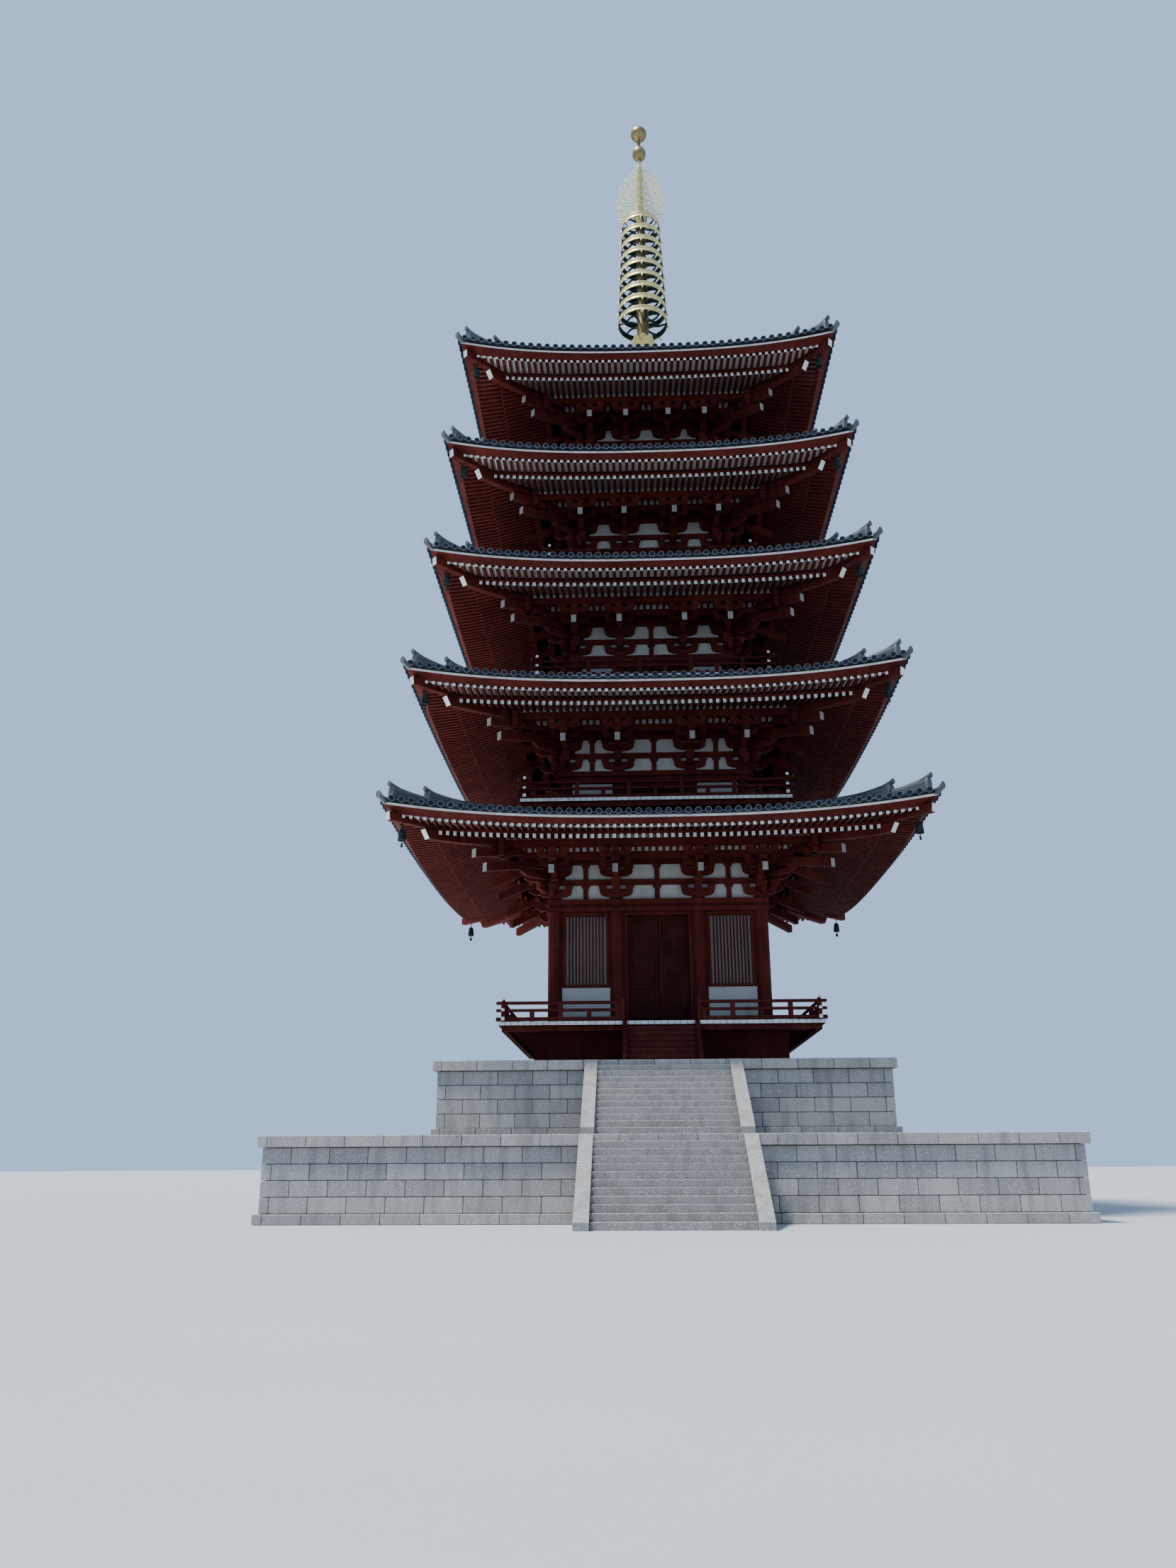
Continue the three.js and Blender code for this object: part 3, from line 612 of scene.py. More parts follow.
BAY_RAFTERS = 30, 27, 24, 22, 19
MIDDLE_RAFTERS = 12, 11, 10, 8, 7


class Storey:
    """The driving sizes of one storey, read from the frame, in metres of the real tower."""

    def __init__(self, number):
        self.number = number
        self.name = f"storey{number}"
        low, high = real_box(self.name + "_eaves")
        self.tip = low.z + RAFTER_DEPTH / 2
        self.eave = high.x - EAVE_BOARD_REACH - EAVE_FLARE
        self.body = real_box(self.name + "_doors_windows")[1].x + WALL_THICKNESS / 2 + SEAT
        low, high = real_box(self.name + "_balcony")
        self.deck = high.z + DECK_RISE.get(number, 0.0)
        self.deck_half, self.deck_foot = high.x, low.z
        self.column = real_box(self.name + "_walls")[1].x - self.body
        self.pitch = 2 * self.body / BAY_RAFTERS[number - 1]
        middle = self.body * (MIDDLE_RAFTERS[number - 1] / BAY_RAFTERS[number - 1])
        self.columns = [-self.body, -middle, middle, self.body]

    def rafter_underside(self, r):
        above_end = (self.eave - BASE_RAFTER_INSET - r) * RAFTER_SLOPE
        return self.tip - RAFTER_DEPTH / 2 - BASE_RAFTER_DROP + above_end

    def lift_share(self, r):
        share = (min(r, self.eave) - self.body) / (self.eave - self.body)
        return max(0.0, share) ** LIFT_FALL

    def keep(self, shape, part, finish, *stands_for):
        keep(shape, f"{self.name}_{part}", finish, *(f"{self.name}_{node}" for node in stands_for))


storeys = [Storey(number) for number in range(1, 6)]


def row_tree():
    """A row of like pieces along each side of the tower. It turns up and stands out towards the
    corners with the eave, and with Trim at 1 each piece ends where it meets the hip line."""
    tree = Tree(
        "row_round_the_tower", Item="Object", Count="Int", Half="Float", Body="Float", Eave="Float",
        Lift="Float", Flare="Float", Trim="Float", Seed="Int", Finish="Material",
    )
    half, count = tree.field("Half"), tree.field("Count")
    step = half * 2 / (count - 1)
    line = tree.node("GeometryNodeMeshLine", Count=count, Offset=tree.vector(x=step))[0]
    x, y, z = tree.position()
    row = tree.copies(tree.moved(line, x - half, 0.0, 0.0), tree.item())
    x, y, z = tree.position()
    r = (y * -1).most(abs(x) * tree.field("Trim"))
    body, eave = tree.field("Body"), tree.field("Eave")
    share = ((r.least(eave) - body) / (eave - body)).most(0.0) ** LIFT_FALL
    bend = (abs(x) / r).least(CORNER_LIMIT) ** LIFT_CURVE
    row = tree.moved(row, x, r * -1 - tree.field("Flare") * bend, z + tree.field("Lift") * share * bend)
    return tree.end(tree.all_round(row))


rows = row_tree()


def row(item, storey, count, half, finish, lift=0.0, flare=0.0, trim=0.0, seed=0):
    sizes = {"Count": count, "Half": half, "Body": storey.body, "Eave": storey.eave}
    return laid(rows, item, finish, Lift=lift, Flare=flare, Trim=trim, Seed=seed, **sizes)


def whitewash_finish(name, dull, clean, dust):
    """White shell paint on timber ends: slightly blue, with thin patches and a grey film of dust."""
    finish = Finish(name, "plaster", roughness=0.7)
    base = finish.blend(finish.noise(0.06), dull, clean)
    base = finish.patches(base, dust, 0.25, 0.5, 0.75, 0.6, (1, 1, 0.4))
    finish.colour(finish.tone(base, (0.52, 0.50, 0.42), 0.4))
    return finish.bump(0.02, 0.001)


SQUARE = (-1, -1), (1, -1), (1, 1), (-1, 1)


def beam_ring(pile, inner, outer, low, high):
    """A square ring of beams round the tower."""
    corners = [(inner, low), (outer, low), (outer, high), (inner, high)]
    return pile.loft([[(x * r, y * r, z) for r, z in corners] for x, y in SQUARE], around=True)


white_paint = whitewash_finish("white_paint", (0.66, 0.68, 0.68), (0.80, 0.81, 0.79), (0.40, 0.40, 0.37))
# A darker copy of the white paint for the tail rafter ends and the cove boards deep under the eaves: painted
# shade, over the same dust.
shaded_white = whitewash_finish("shaded_white_paint", (0.24, 0.25, 0.24), (0.42, 0.42, 0.39), (0.17, 0.17, 0.16))

for storey in storeys:
    half, top = storey.deck_half, storey.deck
    count = round(2 * half / DECK_BOARD["pitch"])
    pitch = 2 * half / count
    wide = pitch / 2 - DECK_BOARD["gap"] / 2
    under = top - DECK_BOARD["depth"]
    bearing = under - SEAT
    inner = storey.body - WALL_THICKNESS
    end = half - DECK_BOARD["end"]
    boards = Pile().box((-wide, -end, under), (wide, -inner, top))
    ends = Pile().box((-wide, -half, under), (wide, -end, top))
    deck = row(boards, storey, count, half - pitch / 2, red_timber, trim=1.0, seed=storey.number)
    near, far = -storey.body, -half + JOIST["end"]
    side, low = JOIST["width"] / 2, under - JOIST["depth"]
    joist = Pile().box((-side, far, low), (side, near, bearing), JOIST["bevel"])
    beam, out = half - DECK_BEAM["inset"], storey.body + WAIST["reach"]
    reach = beam - JOIST["corner"]
    joists = row(joist, storey, round(2 * reach / JOIST["pitch"]) + 1, reach, red_timber, trim=1.0)
    waist = Pile()
    beam_ring(waist, beam - DECK_BEAM["width"], beam, under - DECK_BEAM["depth"], bearing)
    for set_back, low in ((WAIST["set_back"], storey.deck_foot), (0, under - WAIST["rail"])):
        beam_ring(waist, out - WAIST["thickness"], out - set_back, low, bearing)
    floor_inside = Pile().box((-inner, -inner, under), (inner, inner, top - 0.002))
    storey.keep(joined(deck, joists, waist, floor_inside), "deck", red_timber, "balcony")
    tips = row(ends, storey, count, half - pitch / 2, white_paint, seed=storey.number)
    storey.keep(tips, "deck_board_ends", white_paint)


# Railings: three rails one above the other, the round top rail turned up at the corners, where all of
# them run past each other and have white painted ends. Tall and short posts stand between by turns.
RAIL = {"inset": 0.17, "low": 0.1, "middle": 0.41, "top": 0.673, "post": 0.16, "past": 0.26, "spacing": 1.0}
RAIL_BARS = {"low": (0.13, 0.13), "middle": (0.12, 0.095)}
RAIL_BEVEL = 0.008
POST_BEVEL = 0.006
TOP_RAIL = {"radius": 0.058, "rise": 0.13, "bend": 0.9, "ball": 0.064}
END_PAINT = 0.002
STAIR_GAP = {"half": 1.36, "clear": 0.1, "post": 0.07, "post_top": 0.16, "bevel": 0.01}


def spread(start, end, count):
    """Both ends of a stretch and the places that divide it into so many equal parts."""
    return [start + (end - start) * i / count for i in range(count + 1)]


def top_rail(timber, low_end, high_end, at, z, turned_up):
    """The round top rail, which bends up over its last stretch at a corner."""
    stations = spread(low_end, high_end, 24)
    if turned_up:
        near = [0.0, 0.15, 0.3, 0.45, 0.6, 0.8, 1.0]
        stations = [low_end + step for step in near] + [high_end - step for step in reversed(near)]
    loops = []
    for x in stations:
        gap = min(x - low_end, high_end - x)
        rise = TOP_RAIL["rise"] * max(0.0, 1 - gap / TOP_RAIL["bend"]) ** 2 if turned_up else 0.0
        loops.append([
            (x, -at + TOP_RAIL["radius"] * c, z + rise + TOP_RAIL["radius"] * s) for c, s in circle(10)
        ])
    timber.loft(loops)


def post(pile, x, r, half, low, high, bevel=POST_BEVEL):
    """A square upright of the railing."""
    return pile.box((x - half, -r - half, low), (x + half, -r + half, high), bevel)


for storey in storeys:
    at, deck = storey.deck_half - RAIL["inset"], storey.deck
    end = at + RAIL["past"]
    timber, caps = Pile(), Pile()
    for side in range(4):
        opening = storey.number == 1 and side == 0
        gap = STAIR_GAP["half"]
        spans = [(-end, -gap), (gap, end)] if opening else [(-end, end)]
        tips = [(-end - END_PAINT, -end), (end, end + END_PAINT)]
        run, white = Pile(), Pile()
        for name, (wide, tall) in RAIL_BARS.items():
            low, high = deck + RAIL[name] - tall / 2, deck + RAIL[name] + tall / 2
            for pile, stretches, bevel in ((run, spans, RAIL_BEVEL), (white, tips, 0.0)):
                for a, b in stretches:
                    pile.box((a, -at - wide / 2, low), (b, -at + wide / 2, high), bevel)
        for low_end, high_end in spans:
            top_rail(run, low_end, high_end, at, deck + RAIL["top"], not opening)
        if not opening:
            z, ball = deck + RAIL["top"] + TOP_RAIL["rise"], TOP_RAIL["ball"]
            for side_x in (-1, 1):
                white.loft([
                    [(side_x * (end + out), -at + ball * c, z + ball * s) for c, s in circle(12)]
                    for out in (-0.004, END_PAINT)
                ])
        places = round((2 * at) / RAIL["spacing"])
        for i, x in enumerate(spread(-at, at, places)):
            if opening and abs(x) < gap - STAIR_GAP["clear"]:
                continue
            tall = i % 2 == 0 or i == places
            top = deck + (RAIL["top"] if tall else RAIL["middle"])
            post(run, x, at, RAIL["post"] / 2, deck + SEAT, top)
        if opening:  # taller posts on both sides of the stair
            for x in (-gap, gap):
                top = deck + RAIL["top"] + STAIR_GAP["post_top"]
                post(run, x, at, STAIR_GAP["post"], deck + SEAT, top, STAIR_GAP["bevel"])
        turn = Matrix.Rotation(side * pi / 2, 4, "Z")
        timber.join(run.copies([turn]))
        caps.join(white.copies([turn]))
    storey.keep(timber, "rails", red_timber, "railing")
    storey.keep(caps, "rail_ends", white_paint)


# Walls: round red columns with the wall between them, doors of two leaves in the middle bays, and beside them
# white boarded windows in red frames in the first storey and plastered bays above. Flat beams run round the
# columns above and below.
HEAD_BOARD = {"above": -1.48, "depth": 0.2, "reach": 0.3, "inside": 0.3}
DOOR_HEAD_DROP = 0.5
SILL_SHARE = 0.35
FRAME = {
    "inset": 0.14, "wide": 0.1, "proud": 0.05, "lap": 0.06, "head": 0.02, "sill": 0.04, "sunk": 0.1,
    "jamb_sunk": 0.12, "bevel": 0.008,
}
THRESHOLD = 0.08
TIE_BEAM = {"depth": 0.2, "proud": 0.05, "foot": 0.12, "thin": 0.1}
LEAF = {"stile": 0.14, "rail": 0.16, "proud": 0.035, "thick": 0.05, "gap": 0.006}
PANEL = {"thick": 0.012, "edge": 0.03, "pane": 0.03}
WINDOW_BAR = {"pitch": 0.13, "wide": 0.06, "back": 0.01, "front": 0.08, "above": 0.02, "bevel": 0.02}


def plaster_finish():
    """Lime plaster: cloudy, with grey stains that run down, and slightly rough. Its base is grey rather than
    off-white: painted shade for the deep shade under the eaves.
    """
    finish = Finish("plaster", "plaster", roughness=0.85)
    base = finish.blend(finish.noise(0.3), (0.36, 0.38, 0.37), (0.47, 0.48, 0.45))
    finish.colour(finish.patches(base, (0.24, 0.235, 0.21), 0.12, 0.52, 0.8, 0.5, (1, 1, 0.3)))
    return finish.bump(0.015, 0.0015)


# All this plaster lies under the eaves, and its grey base is painted shade.
plaster = plaster_finish()
dark_timber = painted_timber("dark_timber", (0.045, 0.012, 0.010), (0.07, 0.018, 0.013), (0.10, 0.04, 0.03))

for storey in storeys:
    body, column, deck = storey.body, storey.column, storey.deck
    board = storey.tip + HEAD_BOARD["above"]
    head = board - DOOR_HEAD_DROP
    sill = deck + SILL_SHARE * (head - deck)
    face, back = body + WALL_THICKNESS / 2, body - WALL_THICKNESS / 2
    beams, frames, leaves, panels = Pile(), Pile(), Pile(), Pile()
    ring, high = body + column + TIE_BEAM["proud"], board - HEAD_BOARD["depth"]
    beam_ring(beams, body, ring, head + FRAME["head"], head + TIE_BEAM["depth"])
    beam_ring(beams, body, ring, deck + SEAT, deck + TIE_BEAM["foot"])
    beam_ring(beams, body, body + column * 0.8, high - TIE_BEAM["thin"], high - SEAT)
    for bay in range(3):
        left, right = storey.columns[bay] + column, storey.columns[bay + 1] - column
        x0, x1 = left + FRAME["inset"], right - FRAME["inset"]
        has_window = storey.number == 1 and bay != 1
        plaster_face = -face - PANEL["thick"]
        if bay != 1 and not has_window:  # a plastered bay beside the doors
            edge = PANEL["edge"]
            panels.box((left + edge, plaster_face, deck + 0.1), (right - edge, -face, head + 0.04))
            continue
        low = sill if has_window else deck + THRESHOLD
        wide, lap, bevel = FRAME["wide"], FRAME["lap"], FRAME["bevel"]
        clear, top = head - wide, head + FRAME["head"]
        for a, b in ((x0 - wide, x0), (x1, x1 + wide)):
            frames.box((a, -face - FRAME["proud"], low - lap), (b, -face + FRAME["jamb_sunk"], top), bevel)
        for a, b in ((clear, top), (low - lap, low + FRAME["sill"])):
            frames.box((x0 - wide, -face - lap, a), (x1 + wide, -face + FRAME["sunk"], b), bevel)
        if has_window:
            panels.box((x0, -back - PANEL["pane"], low), (x1, -back, clear))
            panels.box((left, plaster_face, deck + TIE_BEAM["foot"]), (right, -face, sill - lap))
            half, high = WINDOW_BAR["wide"] / 2, clear + WINDOW_BAR["above"]
            near, far = WINDOW_BAR["back"] - face, WINDOW_BAR["front"] - face
            for x in spread(x0, x1, round((x1 - x0) / WINDOW_BAR["pitch"]))[1:-1]:
                frames.box((x - half, near, low), (x + half, far, high), WINDOW_BAR["bevel"])
            continue
        middle, skin = (x0 + x1) / 2, -back - LEAF["thick"]
        front = skin - LEAF["proud"]
        for a, b in ((x0, middle - LEAF["gap"]), (middle + LEAF["gap"], x1)):
            leaves.box((a, skin, low), (b, -back, clear))
            for c, d in ((a, a + LEAF["stile"]), (b - LEAF["stile"], b)):
                leaves.box((c, front, low), (d, skin, clear), bevel)
            for z in spread(low, clear - LEAF["rail"], 3 if storey.number == 1 else 2):
                leaves.box((a, front + 0.004, z), (b, skin, z + LEAF["rail"]), bevel)
    storey.keep(beams.join(frames.four_sides()), "tie_beams_frames", red_timber)
    storey.keep(leaves.four_sides(), "door_leaves", dark_timber)
    storey.keep(panels.four_sides(), "plaster_panels", plaster)


# Brackets: on each column a large bearing block carries three steps of boat-shaped arms and small
# blocks, then a slanting tail rafter with a white end, and on it the arms under the eave purlin.
ARM = {"half": 0.58, "depth": 0.2, "block": 0.165, "start": 0.2}
MIDDLE_ARM = {**ARM, "half": 0.6, "reach": 1.11, "rise": -0.36}
ARM_THICK = 0.2
BOAT_CURVE = 2.6
BLOCK = {"wide": 0.3, "past": 0.04}
PURLIN = {"reach": 1.87, "width": 0.24, "depth": 0.28}
COLUMN_BLOCKS = [
    {"reach": 0.0, "rise": HEAD_BOARD["above"], "wide": 0.48, "tall": 0.125},
    {"reach": 0.5, "rise": -0.88, "wide": 0.34, "tall": 0.16},
    {"reach": PURLIN["reach"], "rise": -0.42, "wide": 0.3, "tall": 0.2},
]
PURLIN_BLOCK = {"past": 0.14, "wide": 0.26, "tall": 0.16}
CORNER_BLOCK = {"rise": -0.12, "wide": 0.34, "tall": 0.3}
INNER_BEAM = {"inner": 1.02, "outer": 1.22, "low": -0.1, "high": 0.15}
PILLOW = {"half": 0.66, "thick": 0.1, "low": -0.22}
PURLIN_ENDS = [{"low": 0.0, "high": 0.25, "past": 0.42}, {"low": -0.36, "high": -0.16, "past": 0.3}]
OUTWARD_ARMS = [{"reach": 0.62, "rise": -1.25}, {"reach": 1.24, "rise": -0.72}]
ARM_END = {"curve": 0.28, "block": 0.13}
TAIL = {"reach": 2.44, "drop": 0.78, "slope": 0.42, "wide": 0.205, "tall": 0.32}
CORNER_TAILS = [
    {"reach": 2.44, "drop": 0.70, "slope": 0.42, "wide": 0.23, "tall": 0.33},
    {"reach": 2.8, "drop": 0.255, "slope": 0.4, "wide": 0.24, "tall": 0.32},
]
COVE = [(1.2, 0.13), (1.5, 0.45), (1.47, 0.48), (1.17, 0.16)]
COVE_RIB = {"half": 0.055, "tall": 0.07, "line": [(1.18, 0.11), (1.34, 0.23), (1.5, 0.41)]}
STRUT = {"half": 0.09, "block": 0.32, "tall": 0.14}
STRUT_BAYS = (0, 1, 2), (0, 1, 2), (1,), (), ()
WALL_BEAMS = [(-0.91, -0.7), (-0.1, 0.42)]
WALL_ARMS = [
    {"rise": -1.355, "half": 0.63, "depth": 0.285, "block": 0.16, "start": 0.24},
    {"rise": -0.575, "half": 0.63, "depth": 0.285, "block": 0.19, "start": 0.15},
]


def bearing_block(pile, x, r, low, wide, tall):
    """A square block whose lower half tapers to its foot."""
    loops = []
    for share, z in ((0.68, low), (1, low + tall * 0.5), (1, low + tall)):
        half = wide / 2 * share
        loops.append([(x + a * half, -r + b * half, z) for a, b in SQUARE])
    return pile.loft(loops)


def lateral_arm(pile, x, r, low, plan):
    """An arm along the wall with three small blocks on it. Its top is flat, and its underside rises to
    its ends like a boat's."""
    half, depth, start = plan["half"], plan["depth"], plan["start"]
    right = [(half, low + depth)]
    for share in (1, 0.97, 0.9, 0.78, 0.6, 0.35, 0):
        rise = 1 - (1 - share ** BOAT_CURVE) ** (1 / BOAT_CURVE)
        right.append((start + (half - start) * share, low + depth * 0.85 * rise))
    outline = [(x + dx, z) for dx, z in right] + [(x - dx, z) for dx, z in reversed(right)]
    pile.board(outline, r - ARM_THICK / 2, r + ARM_THICK / 2)
    end = half - BLOCK["wide"] / 2 + BLOCK["past"]
    for dx in (-end, 0.0, end):
        bearing_block(pile, x + dx, r, low + depth, BLOCK["wide"], plan["block"])


def outward_arms(pile, body, tip, x=0.0, stretch=1.0):
    """Arms that run out from the wall, each with a curved end and a block on it."""
    depth, curve = ARM["depth"], ARM_END["curve"]
    for plan in OUTWARD_ARMS:
        low, back, end = tip + plan["rise"], body * 0.9 * stretch, (body + plan["reach"]) * stretch
        outline = [(back, low), (end - curve, low)]
        outline += [(end - curve * cos(a), low + depth * 0.75 * (1 - cos(a))) for a in (1.1, pi / 2)]
        outline += [(end, low + depth * 0.8), (end, low + depth), (back, low + depth)]
        pile.plate(outline, ARM_THICK, x)
        bearing_block(pile, x, end - ARM_END["block"], low + depth, BLOCK["wide"], ARM["block"])


def tail_rafter(timber, ends, body, tip, plan, x=0.0, stretch=1.0):
    """A slanting timber from inside the bracket out to its white end."""
    half, last = plan["tall"] / 2, plan["reach"] - END_PAINT
    for pile, *reaches in ((timber, 0.3, last), (ends, last, plan["reach"])):
        (r0, z0), (r1, z1) = [
            ((body + reach) * stretch, tip - plan["drop"] + (plan["reach"] - reach) * plan["slope"] / stretch)
            for reach in reaches
        ]
        pile.plate([(r0, z0 - half), (r1, z1 - half), (r1, z1 + half), (r0, z0 + half)], plan["wide"], x)


def soffit_finish():
    """Pale painted boards over the rafters, dusty grey in patches and a little uneven."""
    finish = Finish("soffit_boards", "plaster", roughness=0.8)
    base = finish.blend(finish.noise(0.2), (0.70, 0.70, 0.65), (0.83, 0.83, 0.77))
    finish.colour(finish.patches(base, (0.38, 0.36, 0.31), 0.05, 0.5, 0.8, 0.6))
    return finish.bump(0.03, 0.002)


soffit = soffit_finish()

for storey in storeys:
    body, tip = storey.body, storey.tip
    board, face = tip + HEAD_BOARD["above"], body + WALL_THICKNESS / 2
    purlin = body + PURLIN["reach"]
    purlin_out = purlin + PURLIN["width"] / 2
    purlin_top = storey.rafter_underside(purlin_out) - SEAT
    purlin_low = purlin_top - PURLIN["depth"]
    timber, ends = Pile(), Pile()
    inside, outside = body - HEAD_BOARD["inside"], body + HEAD_BOARD["reach"]
    beam_ring(timber, inside, outside, board - HEAD_BOARD["depth"], board)
    for low, high in WALL_BEAMS:
        beam_ring(timber, body, face + 0.1, tip + low, tip + high)
    inside, outside = body + INNER_BEAM["inner"], body + INNER_BEAM["outer"]
    beam_ring(timber, inside, outside, tip + INNER_BEAM["low"], tip + INNER_BEAM["high"])
    beam_ring(timber, purlin_out - PURLIN["width"], purlin_out, purlin_low, purlin_top)

    front, front_ends = Pile(), Pile()
    for side in (-1, 1):
        for plan in PURLIN_ENDS:
            a, b = sorted((side * (purlin_out - 0.5), side * (purlin_out + plan["past"])))
            low, high = purlin_low + plan["low"], purlin_low + plan["high"]
            front.box((a, -purlin_out + 0.01, low), (b, -purlin_out + 0.23, high), 0.012)
        x, tall = side * (purlin_out + PURLIN_BLOCK["past"]), PURLIN_BLOCK["tall"]
        bearing_block(front, x, purlin, purlin_low - tall, PURLIN_BLOCK["wide"], tall)
    for x in storey.columns:
        for plan in COLUMN_BLOCKS:
            bearing_block(front, x, body + plan["reach"], tip + plan["rise"], plan["wide"], plan["tall"])
        for plan in WALL_ARMS:
            lateral_arm(front, x, face + 0.02, tip + plan["rise"], plan)
        half, near = PILLOW["half"], -face - PILLOW["thick"]
        front.box((x - half, near, tip + PILLOW["low"]), (x + half, -face, tip + WALL_BEAMS[1][0]))
        outward_arms(front, body, tip, x)
        lateral_arm(front, x, body + MIDDLE_ARM["reach"], tip + MIDDLE_ARM["rise"], MIDDLE_ARM)
        lateral_arm(front, x, purlin, purlin_low - ARM["block"] - ARM["depth"], ARM)
        tail_rafter(front, front_ends, body, tip, TAIL, x)
    gaps = (board, tip + WALL_BEAMS[0][0]), (tip + WALL_BEAMS[0][1], tip + WALL_BEAMS[1][0])
    for bay in STRUT_BAYS[storey.number - 1]:
        x, half = (storey.columns[bay] + storey.columns[bay + 1]) / 2, STRUT["half"]
        for low, high in gaps:
            outline = [(x - half, low), (x + half, low), (x + half, high), (x - half, high)]
            front.board(outline, body, face + 0.06)
            bearing_block(front, x, body + 0.03, high - STRUT["tall"], STRUT["block"], STRUT["tall"])

    corner, corner_ends = Pile(), Pile()
    outward_arms(corner, body, tip, stretch=sqrt(2))
    for plan in CORNER_TAILS:
        tail_rafter(corner, corner_ends, body, tip, plan, stretch=sqrt(2))
    wide, tall = CORNER_BLOCK["wide"], CORNER_BLOCK["tall"]
    bearing_block(corner, 0, purlin * sqrt(2), tip + CORNER_BLOCK["rise"], wide, tall)
    timber.join(front.four_sides()).join(corner.four_sides(pi / 4))
    ends.join(front_ends.four_sides()).join(corner_ends.four_sides(pi / 4))
    storey.keep(timber, "bracket_arms", red_timber, "brackets")
    # The white tail rafter ends take the darker white: painted shade.
    storey.keep(ends, "tail_rafter_ends", shaded_white)
    closing = beam_ring(Pile(), purlin_out - 0.08, purlin_out - 0.05, purlin_top, purlin_top + 0.17)
    storey.keep(closing, "rafter_gap_boards", soffit)
    band = beam_ring(
        Pile(), body - WALL_THICKNESS / 2, face, board + SEAT, storey.rafter_underside(face) - SEAT
    )
    storey.keep(band, "plaster_band", plaster, "head_band")

    half = body + COVE[0][0] - 0.02
    cove = Pile().loft([[(x, -body - r, tip + z) for r, z in COVE] for x in (-half, half)])
    # The cove boards take the darker white: painted shade.
    storey.keep(cove.four_sides(), "cove_boards", shaded_white)
    half, loops = COVE_RIB["half"], []
    for r, z in COVE_RIB["line"]:
        y, low, high = -body - r, tip + z, tip + z + COVE_RIB["tall"]
        loops.append([(-half, y, low), (half, y, low), (half, y, high), (-half, y, high)])
    ribs_each_way = int((body + COVE[0][0]) / storey.pitch)
    reach = ribs_each_way * storey.pitch
    ribs = row(Pile().loft(loops), storey, 2 * ribs_each_way + 1, reach, red_timber, trim=1.0)
    storey.keep(ribs, "cove_ribs", red_timber)


# Eaves: base rafters from the body to a rafter beam, flying rafters on it, and hip rafters under the
# corners, all with white ends. Pale boards close the gaps, and a deep board runs along the tips.
BASE_RAFTER = {
    "wide": 0.12, "tall": 0.155, "count": (61, 57, 52, 50, 47), "corner": 1.4, "parts": 6, "seed": 11,
}
FLYING_RAFTER = {
    "wide": 0.11, "tall": 0.12, "count": (71, 67, 60, 58, 55), "corner": 0.29, "parts": 3, "seed": 12,
}
FLYING_SLOPE = 0.17
FLYING_LENGTH = 1.5
BASE_INSET = 1.15, 1.15, 1.07, 1.05, 1.06
HIP_RAFTERS = [
    {"past": (0.218,) * 5, "rise": 0.42, "tall": 0.3, "wide": 0.24, "slope": 0.2, "lean": 0.04},
    {
        "past": (-0.9, -0.9, -0.755, -0.74, -0.69), "rise": 0.05, "tall": 0.32, "wide": 0.26,
        "slope": 0.25, "lean": 0.2,
    },
]
RAFTER_BEAM = {"back": 0.11, "front": 0.02, "depth": 0.1}
# Corners of a section: distance past the rafter tips, height over them, shares of the lift and the flare.
TIP_BOARD = [
    (-0.16, 0.055, 1), (0.02, 0.055, 1), (0.05, 0.115, 1.02, 0.2), (0.2, 0.24, 1.14, 1), (-0.16, 0.24, 1.08),
]
BAND_LOW, BAND_HIGH = 0.24, 0.33
WHITE_BAND = [
    (-0.1, BAND_LOW, 1.1), (0.2, BAND_LOW, 1.14, 1), (0.2, BAND_HIGH, 1.14, 1), (-0.1, BAND_HIGH, 1.1),
]
END_CAP = 0.0015
SOFFIT = {"thick": 0.03, "lap": 0.1, "short": 0.02}
STATION_COUNT = 41


def lifted_ring(pile, outline, lift=EAVE_LIFT):
    """A square ring with corners that turn up. The outline is [distance, height, share of the lift],
    and a fourth value is the share of the flare, by which the corners stand out."""
    loops = []
    for side in range(4):
        turn = Matrix.Rotation(side * pi / 2, 3, "Z")
        for i in range(STATION_COUNT - 1):
            along = -1 + 2 * i / (STATION_COUNT - 1)
            bend = abs(along) ** LIFT_CURVE
            loop = []
            for r, z, share, *flare in outline:
                out = EAVE_FLARE * sum(flare)
                loop.append(turn @ Vector((along * (r + out), -r - out * bend, z + lift * share * bend)))
            loops.append(loop)
    return pile.loft(loops, around=True)


def rafter(feet, plan):
    """A bar that runs outwards. A foot is [distance, height of the underside]."""
    half, tall = plan["wide"] / 2, plan["tall"]
    return Pile().loft([
        [(-half, -r, z), (half, -r, z), (half, -r, z + tall), (-half, -r, z + tall)] for r, z in feet
    ])


